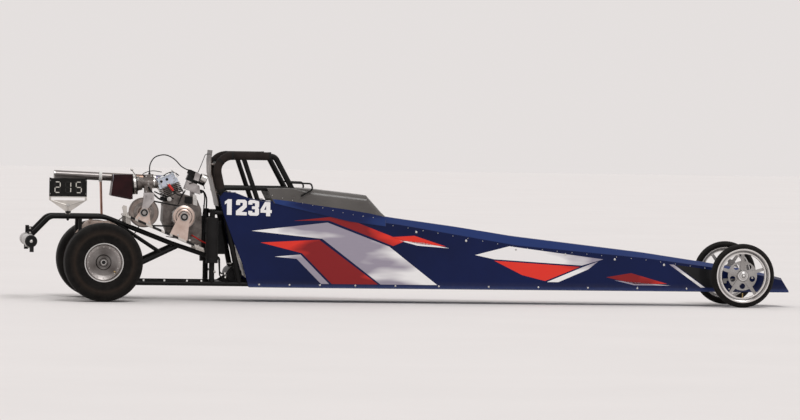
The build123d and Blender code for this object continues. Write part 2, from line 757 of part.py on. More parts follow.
def cylinder_head():
    """Finned head and the rounded cover over it."""
    base = cylinder_base_d + fin_count * fin_pitch + seam
    head = lean_slab(base, base + 26, 60, -head_half, head_half)
    cover = lean_slab(base + 26, base + 60, 52, -54, 54)
    return head + cover


def ignition_box():
    """Box on a stalk over the front of the engine."""
    box = profile_slab([(492, 659), (587, 626), ignition_top[1], ignition_top[0]], -96, -10)
    stalk = profile_slab([(530, 655), (556, 645), (556, 600), (530, 612)], -60, -40)
    return largest(box + stalk - crankcase_block())


def box_point(ahead, above, y=0.0):
    """Point measured along and square to the ignition box's top, from its rear corner."""
    rear, front = ignition_top
    size = math.hypot(front[0] - rear[0], front[1] - rear[1])
    run = ((front[0] - rear[0]) / size, (front[1] - rear[1]) / size)
    return (rear[0] + run[0] * ahead - run[1] * above, y, rear[1] + run[1] * ahead + run[0] * above)


def box_slab(corners, y0, y1):
    """Slab between two y values from corners given along and above the ignition box."""
    points = [box_point(*corner) for corner in corners]
    return profile_slab([(x, z) for x, _, z in points], y0, y1)


def control_box():
    """Box on top of the ignition box with a breather can strapped to its front."""
    top = seam + control_h
    box = box_slab([(-8, seam), (62, seam), (62, top), (-8, top)], -90, -20)
    can_ahead = 62 + can_d / 2 + 1
    can = rod(box_point(can_ahead, 8, -52), box_point(can_ahead, 72, -52), can_d)
    strap = box_slab([(56, 22), (70, 22), (70, 34), (56, 34)], -66, -38)
    return box + can + strap


def battery_box():
    """Box with its lid on the engine cross tube behind the seat."""
    low = engine_rail_path[0][1] + engine_rail_d / 2 + seam
    outline = [(battery_x, low), (battery_x + 104, low), (battery_x + 98, 330), (battery_x + 74, battery_top_z),
               (battery_x + 22, battery_top_z), (battery_x, battery_top_z - 22)]
    lid = [(battery_x + 18, battery_top_z), (battery_x + 79, battery_top_z), (battery_x + 75, battery_top_z + 18),
           (battery_x + 22, battery_top_z + 18)]
    case = profile_slab(outline, -battery_half, battery_half)
    return case + profile_slab(lid, -battery_half - 5, battery_half + 5)


def fuel_tank():
    """Round tank across the frame, held to the cross tube by two cradles."""
    x, z = tank
    body = lateral(x, z, -tank_half, tank_half, tank_d)
    for side in (-1, 1):
        body += lateral(x, z, side * tank_half, side * (tank_half + 8), tank_d - 22)
        y = side * (tank_half - 40)
        cradle = [(tank_tube_x - 14, rail_z + 8), (tank_tube_x + 14, rail_z - 4),
                  (x, z - tank_d / 2 + 4), (x - 20, z)]
        body += profile_slab(cradle, y - 3, y + 3)
    body += rod((x - 10, 0, z), (x - 10, 0, z + tank_d / 2 + 16), 34)
    return body - lateral(tank_tube_x, rail_z, -frame_y, frame_y, rail_d + 2 * weld_gap)


def cables():
    """Vent line over the engine, tether to the deflector and the two looms to the battery."""
    top = 2 * seam + control_h
    into_battery = battery_x - seam
    return [
        cord([(291, -20, 741.2), (291, -20, 800), (318, -22, 845), (380, -30, 862), (436, -40, 836),
              box_point(-60, top - 8, -50), box_point(-8 - seam, top - 8, -50)], 7),
        cord([box_point(40, top, -60), box_point(40, top + 40, -60), (618, -60, 866), (643.4, -60, 866)], 4),
        cord([(585.4, -60, 648.1), (609, -60, 650.3), (618, -60, 612), (612, -60, 540), (604, -60, 470),
              (606, -60, 402), (into_battery, -60, 402)], 8),
        cord([(586.1, -85, 640.3), (612, -85, 642.8), (627, -85, 604), (624, -85, 520), (617, -85, 440),
              (610, -85, 372), (608, -85, 306), (into_battery, -85, 306)], 9),
    ]


def battery_cable():
    """Thick lead from the crankcase over the plate's front edge to the cross tube."""
    z = engine_rail_path[0][1] + engine_rail_d / 2
    return cord([(540, -78.4, 386), (540, -118, 386), (596, -118, 352), (upright_x, -118, 330),
                 (upright_x, -118, z + seam)], 8)


def hoses():
    """Two fuel hoses to the tank and the brake line along the right lower rail."""
    tube_front = upright_x + engine_rail_d / 2 + seam
    tank_rear = tank[0] - tank_d / 2
    return [
        cord([(tube_front, -118, 262), (704, -118, 262), (706, -118, tank[1]),
              (tank_rear - seam, -118, tank[1])], 9),
        cord([(tube_front, -134, 258), (698, -134, 258), (706, -134, 140), (tank_rear + 3, -134, 140)], 9),
        rod((232, -frame_y, rail_z + 16.5), (602, -frame_y, rail_z + 16.5), 6),
    ]


def pedals(big_rails):
    """Two pedals on a bar between the lower rails."""
    half = rail_y(pedal_x)
    bar = lateral(pedal_x, rail_z, -half, half, brace_d)
    for side in (-1, 1):
        y = side * 70
        bar += rod((pedal_x, y, rail_z), (pedal_x - 26, y, pedal_top_z), 12)
        bar += profile_slab([(pedal_x - 30, pedal_top_z - 34), (pedal_x - 22, pedal_top_z - 34),
                             (pedal_x - 38, pedal_top_z + 34), (pedal_x - 46, pedal_top_z + 34)], y - 26, y + 26)
    for cutter in big_rails:
        bar = largest(bar - cutter)
    return bar


def brake_caliper():
    """Two-sided caliper over the disc's front edge, on a bracket from the cross tube."""
    body = profile_slab([(48, 138), (112, 138), (118, 196), (72, 206), (48, 176)], disc_y - 26, disc_y + 26)
    body -= lateral(0, axle_z, disc_y - 9, disc_y + 9, disc_d + 12)
    body -= lateral(0, axle_z, disc_y - 30, disc_y + 30, 80)
    body += profile_slab([(hanger_tube_x - 10, rail_z), (hanger_tube_x + 22, rail_z), (104, 142), (60, 142)],
                         disc_y - 26, disc_y - 16)
    return largest(body - lateral(hanger_tube_x, rail_z, -frame_y, frame_y, rail_d + 2 * weld_gap))


def carburettor():
    """Carburettor body with its flange towards the head."""
    y = -20
    body = rod((362, y, 690), (232, y, 690), 62)
    body += profile_slab([(262, 632), (306, 632), (312, 742), (256, 738)], y - 28, y + 28)
    body += rod((240, y, 690), (160, y, 670), 84)
    body += rod((216, y, 682), (190, y, 680), 118)
    head_cut = lean_slab(100, 300, 60 + seam, -90, 90)
    box_cut = profile_slab([(0, 741), (180 + seam, 741), (185 + seam, 597), (0, 597)], -150, 60)
    return largest(body - head_cut - box_cut)


def air_box():
    """Intake box behind the carburettor."""
    outline = [(72, 740), (180, 741), (185, 597), (170, 593), (57, 614)]
    return profile_slab(outline, -150, 30)


def exhaust_tube(diameter):
    """Round bar along the exhaust's centre line: straight from the rear, then a bend into the head."""
    points = [(exhaust_rear_x, exhaust_y, exhaust_rear_z), (exhaust_head[0], exhaust_y, exhaust_head[1]),
              (exhaust_head[0], head_half + seam, exhaust_head[1])]
    return bent_tube(points, exhaust_bend_r, diameter)


def exhaust_pipe():
    """Open pipe from the head to the rear with its flange at the head."""
    flange = rod((exhaust_head[0], head_half + seam, exhaust_head[1]),
                 (exhaust_head[0], head_half + seam + 6, exhaust_head[1]), exhaust_d + 18)
    return exhaust_tube(exhaust_d) + flange - exhaust_tube(exhaust_d - 2 * exhaust_wall)


def upright_sleeve(side):
    """Padded sleeve round the upright."""
    y = side * cage_y
    sleeve = rod((upright_x, y, sleeve_low_z), (upright_x, y, sleeve_top_z), sleeve_d)
    sleeve -= rod((upright_x, y, 0), (upright_x, y, 600), cage_d + 2 * seam)
    return sleeve - lateral(upright_x, engine_rail_path[0][1], -cage_y, cage_y, engine_rail_d + 2 * seam)


def deflector_plate():
    """Bent sheet between the seat and the engine, on stand-offs from the cage's cross tubes."""
    front = list(deflector_line)
    back = [(x - 3, z) for x, z in reversed(deflector_line)]
    sheet = profile_slab(front + back, -deflector_half, deflector_half)
    for x, z in deflector_seats:
        for side in (-1, 1):
            y = side * deflector_half * 0.6
            sheet += rod((along_line(deflector_line, z) - 1, y, z), (x, y, z), 10)
            sheet -= lateral(x, z, y - 20, y + 20, mid_bar_d + 2 * weld_gap)
    return largest(sheet)


def along_line(line, height):
    """X of a falling X-Z line of several points at a height."""
    for (x0, z0), (x1, z1) in zip(line, line[1:]):
        if z1 <= height <= z0:
            return x0 + (x1 - x0) * (z0 - height) / (z0 - z1)
    return line[-1][0]


def dial_board():
    """Board with its frame and the two uprights."""
    board = block((-301, -91), (-152, -140), (606, 713))
    for x in (-301, -91):
        board += block((x - 5, x + 5), (-156, -138), (584, 716))
    return board


def board_bracket(carrier):
    """V bracket from the board to the clamp on the rail."""
    outline = [(-304, 584), (-88, 584), (-180, 520), (-186, 486), (-206, 486), (-212, 520)]
    plate = profile_slab(outline, -152, -148)
    return largest(plate - carrier)


def guard_panel(carrier):
    """Light sheet hung from the right engine rail between the rear tyres."""
    face_y = -guard_y
    panel = profile_slab([(-86, 466), (-150, 392), (127, 432), (115, 466)], face_y - 3, face_y)
    for x0, x1, z0, z1 in ((-70, -50, 460, 484), (62, 82, 446, 466)):
        panel += block((x0, x1), (-engine_rail_y + 8, face_y), (z0, z1))
    return largest(panel - carrier)


def push_roller():
    """Cross tube at the rear with a polished grip and a cap at each end."""
    half = roller_w / 2
    tube = lateral(roller_x, roller_z, -roller_grip_y, roller_grip_y, roller_core_d)
    for side in (-1, 1):
        grip_end = side * (half - roller_cap_w)
        tube += lateral(roller_x, roller_z, side * roller_grip_y, grip_end, roller_d)
        tube += lateral(roller_x, roller_z, grip_end, side * half, roller_cap_d)
        tube += profile_slab([(roller_x - 12, 300), (roller_x + 10, 300), (roller_x + 12, 428), (roller_x - 10, 428)],
                             side * (roller_grip_y - 9), side * (roller_grip_y - 2))
    return tube


def side_panels():
    """Right and left side sheets with the raked rear edge."""
    found = []
    for side in (-1, 1):
        faces = []
        for x, deck, shoulder in body_stations:
            half = body_half(x)
            faces.append(section_face(x, [
                (side * half, body_bottom_z), (side * half, shoulder), (side * (half - skin), shoulder),
                (side * (half - skin), body_bottom_z)]))
        panel = loft(faces, ruled=True)
        outline = cockpit_rear_edge + cockpit_top_edge + [(body_stations[0][0], body_stations[0][2]),
                                                          (body_stations[0][0], body_bottom_z)]
        outer = side * cockpit_half
        rear = profile_slab(outline, outer, outer - side * skin)
        panel = panel + rear
        panel -= lateral(wheelbase, front_z, side * 60, side * 300, beam_d + 10)
        slot = block((wheelbase - steer_arm - 16, wheelbase - steer_arm + 22), sorted((side * 60, side * 300)),
                     (tie_rod_z - 14, tie_rod_z + 14))
        found.append(largest(panel - slot))
    return found


def body_deck():
    """Top sheet with its sloped shoulders, from the windscreen to the nose joint."""
    faces = []
    rows = [row for row in body_stations if row[0] > deck_rear_x]
    start = deck_rear_x + seam
    rows = [(start, deck_height(start), shoulder_height(start))] + rows
    for x, deck, shoulder in rows:
        half = body_half(x)
        inset = min(shoulder_inset, half * 0.4)
        low = shoulder + seam
        faces.append(section_face(x, [
            (-half, low), (-half + inset, deck), (half - inset, deck), (half, low),
            (half - skin * 1.6, low), (half - inset - 1, deck - skin), (-half + inset + 1, deck - skin),
            (-half + skin * 1.6, low)]))
    return loft(faces, ruled=True)


def belly_pan():
    """Flat floor sheet between the side panels."""
    rear_x = cockpit_rear_edge[0][0] + 4
    points = [(rear_x, -cockpit_half), (taper_start_x, -cockpit_half), (nose_joint_x, -body_half(nose_joint_x)),
              (nose_joint_x, body_half(nose_joint_x)), (taper_start_x, cockpit_half), (rear_x, cockpit_half)]
    inset = skin + seam
    points = [(x, y + inset if y < 0 else y - inset) for x, y in points]
    return extrude(Pos(0, 0, body_bottom_z) * make_face(Polyline(*points, close=True)), 2)


def body_nose():
    """Closed wedge nose: station, half width, deck height, shoulder height."""
    start = nose_joint_x + seam
    table = [(start, body_half(start), body_stations[-1][1], body_stations[-1][2]),
             (nose_mid_x, body_half(nose_mid_x) - 2, nose_mid_z, nose_mid_shoulder),
             (nose_tip_x, nose_tip_half, nose_tip_z, nose_tip_z - 4)]
    faces = []
    for x, half, deck, shoulder in table:
        inset = min(shoulder_inset, half * 0.4)
        faces.append(section_face(x, [(-half, body_bottom_z), (-half, shoulder), (-half + inset, deck),
                                      (half - inset, deck), (half, shoulder), (half, body_bottom_z)]))
    return loft(faces, ruled=True)


def windscreen():
    """Smoked cowl over the front of the cockpit, open behind and below."""
    faces = []
    for x, top, corner_r in windscreen_stations:
        base = shoulder_height(x) - windscreen_lap
        plane = Plane(origin=(x, 0, 0), x_dir=(0, 1, 0), z_dir=(1, 0, 0))
        outer = body_half(x) + seam + windscreen_t
        inner = body_half(x) + seam
        big, small = corner_r, corner_r - windscreen_t
        low = top - windscreen_t
        bow, dent = big * (1 - math.sqrt(0.5)), small * (1 - math.sqrt(0.5))
        with BuildSketch(plane) as section:
            with BuildLine():
                Line((-outer, base), (-outer, top - big))
                ThreePointArc((-outer, top - big), (-outer + bow, top - bow), (-outer + big, top))
                Line((-outer + big, top), (outer - big, top))
                ThreePointArc((outer - big, top), (outer - bow, top - bow), (outer, top - big))
                Line((outer, top - big), (outer, base))
                Line((outer, base), (inner, base))
                Line((inner, base), (inner, low - small))
                ThreePointArc((inner, low - small), (inner - dent, low - dent), (inner - small, low))
                Line((inner - small, low), (-inner + small, low))
                ThreePointArc((-inner + small, low), (-inner + dent, low - dent), (-inner, low - small))
                Line((-inner, low - small), (-inner, base))
                Line((-inner, base), (-outer, base))
            make_face()
        faces.append(section.sketch.faces()[0])
    shell = loft(faces, ruled=True)
    rear_x = windscreen_stations[0][0]
    rake = profile_slab([(rear_x - 9, 700), (rear_x + 91, 500), (rear_x - 90, 500), (rear_x - 90, 700)],
                        -400, 400)
    opening = block((rear_x - 90, windscreen_top_x), (-cockpit_half + 1, cockpit_half - 1), (500, 700))
    shell = shell - rake - opening
    for side in (-1, 1):
        shell = largest(shell - rod((cage_top_front_x, side * cage_y, cage_top_z),
                                    (cage_foot_front[0], side * cage_y, rail_z), cage_d + 6))
    return shell


def offset_line(start, end, lift):
    """Both ends of an X-Z line moved square to it, to the left of its direction."""
    dx, dz = end[0] - start[0], end[1] - start[1]
    size = math.hypot(dx, dz)
    shift = (-dz / size * lift, dx / size * lift)
    return [(start[0] + shift[0], start[1] + shift[1]), (end[0] + shift[0], end[1] + shift[1])]


def seat_shell():
    """Bucket of bent sheet: back, floor and side wings."""
    under = [seat_back_top, seat_back_low, seat_floor_rear, seat_floor_front]
    upper = (offset_line(seat_floor_rear, seat_floor_front, sheet_t)[::-1]
             + offset_line(seat_back_top, seat_back_low, sheet_t)[::-1])
    shell = profile_slab(under + upper, -seat_half, seat_half)
    wing = under + [(1180, 150), (960, 215), (905, 330), (835, 560), (790, 645)]
    for side in (-1, 1):
        shell += profile_slab(wing, side * seat_half, side * (seat_half - sheet_t))
    return shell


def seat_pads():
    """Back cushion and base cushion, plain and soft."""
    low, high = sheet_t + seam, sheet_t + seam + pad_t
    half = seat_half - sheet_t - seam
    back_rear = offset_line(seat_back_top, seat_back_low, low)
    back_front = offset_line(seat_back_top, seat_back_low, high)
    back = profile_slab(back_rear + back_front[::-1], -half, half)
    base_low = offset_line(seat_floor_rear, seat_floor_front, low)
    base_high = offset_line(seat_floor_rear, seat_floor_front, high - 8)
    base_low[0] = (base_low[0][0] + 14, base_low[0][1])
    base_high[0] = (base_high[0][0] + 14, base_high[0][1])
    base = profile_slab(base_low + base_high[::-1], -half, half)
    return [back, base]


def steering_wheel():
    """Butterfly wheel on its shaft."""
    hub = (column_hub[0], 0.0, column_hub[1])
    foot = (column_foot[0], 0.0, column_foot[1])
    shaft = rod(hub, foot, column_d)
    axis = Vector(*hub) - Vector(*foot)
    plane = Plane(origin=hub, x_dir=(0, 1, 0), z_dir=axis)
    wheel = extrude(plane * Rectangle(170, 40), 8)
    for side in (-1, 1):
        grip = plane * Pos(side * 90, 10, 4) * Rot(90, 0, 0) * Cylinder(13, 110)
        wheel += grip
    return shaft + wheel


def windscreen_guard(side, big_loops):
    """Bent rod loop on the outside of the front cage leg."""
    y = side * (cockpit_half + guard_reach)
    leg = along((cage_top_front_x, cage_top_z), cage_foot_front, 705)
    points = [(leg, side * (cage_y + 10), 705), (leg + 30, y, 705), (1228, y, 702), (1238, y, 668), (1168, y, 628)]
    return largest(bent_tube(points, [14, 16, 20], 10) - big_loops[0] - big_loops[1])


def exhaust_strut(carrier):
    """Strut from the pipe's clamp to the left engine rail."""
    x = strut_x
    share = (x - exhaust_rear_x) / (exhaust_head[0] - exhaust_rear_x)
    z = exhaust_rear_z + (exhaust_head[1] - exhaust_rear_z) * share
    clamp = rod((x - 9, exhaust_y, z), (x + 9, exhaust_y, z), exhaust_d + 12)
    strut = rod((x, exhaust_y, z), (x + 12, engine_rail_y, engine_rail_path[2][1]), strut_d)
    return largest(strut + clamp - carrier - exhaust_tube(exhaust_d + 2 * weld_gap))


def drive_chain():
    """Endless chain from the jackshaft to the axle, as a plain band."""
    return belt_loop((0, axle_z), axle_sprocket_r + chain_clear, jackshaft, jack_sprocket_r + chain_clear, chain_y,
                     chain_w, chain_t)


def main():
    os.makedirs("parts", exist_ok=True)
    big_rails = [lower_rail(side, weld_gap) for side in (-1, 1)]
    big_loops = [cage_loop(side, weld_gap) for side in (-1, 1)]
    big_engine_rails = [engine_rail(side, weld_gap) for side in (-1, 1)]
    engine_cross = lateral(upright_x, engine_rail_path[0][1], -cage_y, cage_y, engine_rail_d + 2 * weld_gap)
    roller_cut = lateral(roller_x, roller_z, -roller_grip_y, roller_grip_y, roller_core_d + 2 * weld_gap)
    save("lower_rails", *side_pair(lower_rail))
    save("cage_hoops", *[largest(cage_loop(side) - rail) for side, rail in zip((-1, 1), big_rails)])
    save("upper_rails", *[largest(upper_rail(side) - loop) for side, loop in zip((-1, 1), big_loops)])
    save("cage_braces", *cage_braces(big_rails, big_loops))
    save("cross_tubes", *cross_tubes(big_rails, big_loops))
    save("frame_uprights", *frame_uprights(big_rails, big_loops))
    save("engine_rails", *[largest(engine_rail(side) - engine_cross - roller_cut) for side in (-1, 1)])
    save("rear_braces", *rear_braces(big_rails, big_engine_rails))
    save("axle_hangers", *side_pair(axle_hanger))
    save("push_roller", push_roller())
    save("body_sides", *side_panels())
    save("body_deck", body_deck())
    save("belly_pan", belly_pan())
    save("body_nose", body_nose())
    save("windscreen", windscreen())
    save("windscreen_guards", *[windscreen_guard(side, big_loops) for side in (-1, 1)])
    save("deflector_plate", deflector_plate())
    save("upright_sleeves", *side_pair(upright_sleeve))
    save("seat_shell", seat_shell())
    save("seat_pads", *seat_pads())
    save("front_axle", front_axle())
    save("engine_plate", engine_plate(big_engine_rails))
    save("crankcase", crankcase())
    save("cylinder", cylinder())
    save("cylinder_head", cylinder_head())
    save("ignition_box", ignition_box())
    save("control_box", control_box())
    save("carburettor", carburettor())
    save("air_box", air_box())
    save("exhaust_pipe", exhaust_pipe())
    save("exhaust_strut", exhaust_strut(big_engine_rails[1]))
    save("battery_box", battery_box())
    save("fuel_tank", fuel_tank())
    save("cables", *cables())
    save("battery_cable", battery_cable())
    save("hoses", *hoses())
    drive = pulley(crank, drive_pulley_r, belt_drive_r, -204, -98)
    driven = pulley(jackshaft, driven_pulley_r, belt_driven_r, -204, 124)
    driven += lateral(jackshaft[0], jackshaft[1], chain_y - 3, chain_y + 3, 2 * jack_sprocket_r)
    save("clutch_pulleys", drive, driven)
    belt = belt_loop(crank, belt_drive_r - 4, jackshaft, belt_driven_r - 4, belt_y, belt_w - 4, belt_t)
    save("drive_belt", belt - drive - driven)
    save("clutch_supports", clutch_support(crank, 404, 506, 34, support_y),
         clutch_support(jackshaft, 196, 290, 30, support_y), inner_support())
    save("drive_chain", drive_chain())
    save("dial_board", dial_board())
    save("board_bracket", board_bracket(big_engine_rails[0]))
    save("guard_panel", guard_panel(big_engine_rails[0]))
    save("steering_wheel", steering_wheel())
    save("pedals", pedals(big_rails))
    for side, word in ((-1, "right"), (1, "left")):
        save(f"knuckle_{word}", knuckle(side))
        save(f"front_wheel_{word}", front_wheel(side) - knuckle_cut(side))
        save(f"front_tyre_{word}", front_tyre(side))
    save("tie_rod", tie_rod())
    save("axle_shaft", axle_shaft())
    save("rear_wheels", *side_pair(rear_wheel))
    save("rear_tyres", *side_pair(rear_tyre))
    save("sprocket", sprocket())
    save("brake_disc", brake_disc())
    save("brake_caliper", brake_caliper())


def knuckle_cut(side):
    """Room for the spindle inside the wheel hub."""
    return lateral(wheelbase, front_z, side * 200, side * (front_track / 2 + 9), spindle_d + 2 * fork_gap)


main()
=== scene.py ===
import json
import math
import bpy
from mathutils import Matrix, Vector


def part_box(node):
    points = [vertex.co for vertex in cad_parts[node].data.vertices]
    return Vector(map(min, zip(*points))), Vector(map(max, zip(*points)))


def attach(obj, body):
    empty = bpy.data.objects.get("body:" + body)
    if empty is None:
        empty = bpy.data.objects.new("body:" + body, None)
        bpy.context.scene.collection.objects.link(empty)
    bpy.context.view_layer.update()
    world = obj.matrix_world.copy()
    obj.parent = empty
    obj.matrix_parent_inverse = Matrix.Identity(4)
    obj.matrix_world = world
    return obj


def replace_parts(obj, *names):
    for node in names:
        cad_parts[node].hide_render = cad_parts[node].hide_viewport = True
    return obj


bl_info = {
    "name": "Drag racing car",
    "version": (1, 0, 0),
    "blender": (4, 5, 0),
    "location": "View3D > Sidebar > Drag car",
    "description": "Dresses the packed drag racing car with its finishes and fittings",
    "category": "Object",
}

import bmesh
import bpy
from mathutils import Matrix, Vector

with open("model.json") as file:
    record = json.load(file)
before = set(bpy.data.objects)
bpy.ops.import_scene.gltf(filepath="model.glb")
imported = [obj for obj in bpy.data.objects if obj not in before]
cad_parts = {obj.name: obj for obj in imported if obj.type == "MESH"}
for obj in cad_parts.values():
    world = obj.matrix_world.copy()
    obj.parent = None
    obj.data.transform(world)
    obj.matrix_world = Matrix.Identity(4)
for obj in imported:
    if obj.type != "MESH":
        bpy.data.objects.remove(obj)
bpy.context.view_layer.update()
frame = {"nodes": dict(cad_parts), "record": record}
NODES = frame["nodes"]
AXLE_X = sum(corner.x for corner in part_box("axle_shaft")) / 2

# Places in station millimetres: x ahead of the rear axle, y to the left, z up
WHEELBASE = 3810.0
REAR_AXLE_Z = 230.0
FRONT_AXLE_Z = 190.0
BODY_LOW_Z = 87.0
COCKPIT_HALF = 235.0
NOSE_HALF = 110.0
TAPER_X = 1460.0
NOSE_TIP_X = 4128.0
CAGE_Y = 215.7
CYLINDER_LEAN = 23.6
CRANK = (486.0, 495.0)
JACKSHAFT = (250.0, 518.0)
SHOULDER_LINE = ((690, 655), (1150, 605), (1250, 548), (1460, 500), (1760, 464), (2124, 405), (2463, 350),
                 (3251, 282), (3734, 222), (3960, 186))
SCREEN_LINE = SHOULDER_LINE[2:]
SCREEN_SKIN = 3.5
PLATE_TOP = ((143, 507), (604, 313))
NUMERAL_X = 710.0
NUMERAL_Z = 513.0
REAR_WHEEL_Y = 380.0
FRONT_WHEEL_Y = 285.0
KNUCKLE_Y = 208.0
CHAIN_Y = 104.0
CHAIN_WHEEL_RADIUS = 109.5
CHAIN_PINION_RADIUS = 37.5
PULLEY_FACE_Y = -169.5
SUPPORT_FACE_Y = -205.0
CARBURETTOR = Vector((203, -20, 681))
ROLLER_X = -417.0
ROLLER_Z = 345.0

# Directions, and the two sides with their words
UP = Vector((0, 0, 1))
RIGHT = Vector((0, -1, 0))
LEFT = Vector((0, 1, 0))
AHEAD = Vector((1, 0, 0))
SIDES = ((-1, "right"), (1, "left"))
SQUARE = ((-1, -1), (1, -1), (1, 1), (-1, 1))

# Smallest radius of a turned row in millimetres, and the turn in radians from which an edge is bevelled
POINT_RADIUS = 0.01
SHARP_EDGE = 0.6

# Camera matched to the photo: heading, pitch and roll in degrees, place in metres, lens in millimetres
CAMERA_TURN = (7.155, -1.173, 0.887)
CAMERA_PLACE = (-3.88125, -30.5263, 1.1787)
CAMERA_LENS = 232.83
CAMERA_SENSOR = 36.0
CAMERA_FAR = 200.0

# Each lamp's name, place in metres, spread in degrees and strength; the sky's light; the floor's half width
LAMPS = (("key_sun", (2.0, -6.5, 9.0), 24.0, 1.25), ("back_sun", (-3.0, 7.0, 8.0), 40.0, 0.40))
SKY_COLOUR = (1.0, 0.985, 0.975, 1.0)
SKY_STRENGTH = 0.62
FLOOR_HALF = 60.0

# Sockets of a Mix node that carry its two colours and its result
MIX_FIRST, MIX_SECOND, MIX_RESULT = 6, 7, 2


# Small tools


def at(x, y, z):
    """A station point in millimetres as a row point in metres."""
    return Vector((x / 1000 + AXLE_X, y / 1000, z / 1000))


def between(table, x):
    """Second column of a table of two columns, straight between its rows and on behind the first."""
    for (x0, v0), (x1, v1) in zip(table, table[1:]):
        if x <= x1:
            return v0 + (v1 - v0) * (x - x0) / (x1 - x0)
    return table[-1][1]


def body_half(x):
    """Half width of the body's outside at a station."""
    share = max(0.0, (x - TAPER_X) / (NOSE_TIP_X - TAPER_X))
    return COCKPIT_HALF + (NOSE_HALF - COCKPIT_HALF) * share


def plate_z(x):
    """Height of the engine plate's top face at a station."""
    return between(PLATE_TOP, x)


def square_to(axis):
    """Two directions square to an axis and to each other."""
    axis = Vector(axis).normalized()
    first = axis.cross(UP if abs(axis.z) < 0.9 else AHEAD).normalized()
    return first, axis.cross(first)


def circle(u, v, count, first=0.0):
    """Unit directions evenly round from one direction towards a square one, the first turned by degrees."""
    turns = [math.radians(first) + 2 * math.pi * k / count for k in range(count)]
    return [u * math.cos(turn) + v * math.sin(turn) for turn in turns]


def bend(points, steps=6):
    """A smooth line of points through the given ones."""
    points = [Vector(p) for p in points]
    padded = [2 * points[0] - points[1], *points, 2 * points[-1] - points[-2]]
    line = []
    for a, b, c, d in zip(padded, padded[1:], padded[2:], padded[3:]):
        for k in range(steps):
            t = k / steps
            line.append(0.5 * (2 * b + (c - a) * t + (2 * a - 5 * b + 4 * c - d) * t * t
                               + (3 * b - a - 3 * c + d) * t ** 3))
    return line + [points[-1]]


class Piece:
    """Mesh collected in station millimetres and then made into one object."""

    def __init__(self):
        self.points = []
        self.faces = []

    def add(self, points, faces):
        start = len(self.points)
        self.points += [Vector(p) for p in points]
        self.faces += [[start + k for k in face] for face in faces]

    def loft(self, rings, close_ends=True):
        """Skin over rings of equally many points."""
        count, last = len(rings[0]), len(rings) - 1
        faces = []
        for start in range(0, last * count, count):
            faces += [[start + k, start + (k + 1) % count, start + count + (k + 1) % count, start + count + k]
                      for k in range(count)]
        if close_ends:
            faces += [list(range(count))[::-1], [last * count + k for k in range(count)]]
        self.add([p for ring in rings for p in ring], faces)

    def turned(self, centre, axis, profile, steps=20, ring=False):
        """Turned shape from rows of distance along the axis and radius; a ring's rows close on themselves."""
        axis, centre = Vector(axis).normalized(), Vector(centre)
        ways = circle(*square_to(axis), steps)
        rows = [*profile, profile[0]] if ring else profile
        self.loft([[centre + axis * h + way * max(r, POINT_RADIUS) for way in ways] for h, r in rows],
                  close_ends=not ring)

    def band(self, centre, axis, half, inner, outer, steps):
        """Plain band round an axis, from half its width and its two radii."""
        self.turned(centre, axis, [(-half, inner), (-half, outer), (half, outer), (half, inner)], steps, True)

    def tube(self, line, radius, steps=10):
        """Round tube along a line of points, its section carried without twist."""
        line = [Vector(p) for p in line]
        tangents = [(b - a).normalized() for a, b in zip(line, line[1:])]
        inner = [(a + b).normalized() for a, b in zip(tangents, tangents[1:])]
        u = square_to(tangents[0])[0]
        rings = []
        for point, tangent in zip(line, [tangents[0], *inner, tangents[-1]]):
            u = (u - tangent * u.dot(tangent)).normalized()
            rings.append([point + way * radius for way in circle(u, tangent.cross(u), steps)])
        self.loft(rings)

    def prism(self, outline, low, high):
        """Plate cut to an outline of x and z between two y values."""
        self.loft([[(x, y, z) for x, z in outline] for y in (low, high)])

    def block(self, centre, size, x_dir=AHEAD, z_dir=UP):
        """Box by its middle, its size and two of its directions."""
        x_dir, z_dir = Vector(x_dir).normalized(), Vector(z_dir).normalized()
        y_dir = z_dir.cross(x_dir)
        half = Vector(size) / 2
        corners = [x_dir * sx * half.x + y_dir * sy * half.y for sx, sy in SQUARE]
        self.loft([[Vector(centre) + corner + z_dir * z for corner in corners] for z in (-half.z, half.z)])

    def bolt(self, centre, axis, across=10.0, height=6.0):
        """Hexagon head with its washer, standing on a face."""
        washer = 1.4
        self.turned(centre, axis, [(-1, across * 0.72), (washer, across * 0.72), (washer, across * 0.5)], 14)
        self.turned(Vector(centre) + Vector(axis).normalized() * washer, axis,
                    [(0, across * 0.56), (height * 0.8, across * 0.56), (height, across * 0.45)], 6)

    def rivet(self, centre, axis, radius):
        """Low domed head."""
        self.turned(centre, axis, [(-0.5, radius), (0.25 * radius, radius * 0.95),
                                   (0.6 * radius, radius * 0.6), (0.72 * radius, 0.1)], 8)

    def strap(self, line, width, thick, across):
        """Flat webbing along a line, its width along one direction."""
        line = [Vector(p) for p in line]
        across = Vector(across).normalized()
        rings = []
        for k, point in enumerate(line):
            tangent = (line[min(k + 1, len(line) - 1)] - line[max(k - 1, 0)]).normalized()
            wide = (across - tangent * across.dot(tangent)).normalized()
            up = tangent.cross(wide)
            rings.append([point + wide * sx * width / 2 + up * sz * thick / 2 for sx, sz in SQUARE])
        self.loft(rings)

    def make(self, name, body, finish_name, slot, edge=0.0):
        """One object of it, riding on a body, its sharp edges bevelled where a width is given."""
        shape = bmesh.new()
        corners = [shape.verts.new(at(*p)) for p in self.points]
        for face in self.faces:
            shape.faces.new([corners[k] for k in face])
        bmesh.ops.remove_doubles(shape, verts=shape.verts, dist=1e-7)
        bmesh.ops.recalc_face_normals(shape, faces=shape.faces)
        if edge:
            sharp = [e for e in shape.edges if len(e.link_faces) == 2 and e.calc_face_angle(0) > SHARP_EDGE]
            bmesh.ops.bevel(shape, geom=sharp, offset=edge / 1000, segments=2,
                            affect="EDGES", clamp_overlap=True)
        mesh = bpy.data.meshes.new(name)
        shape.to_mesh(mesh)
        shape.free()
        return place_mesh(name, mesh, body, finish_name)


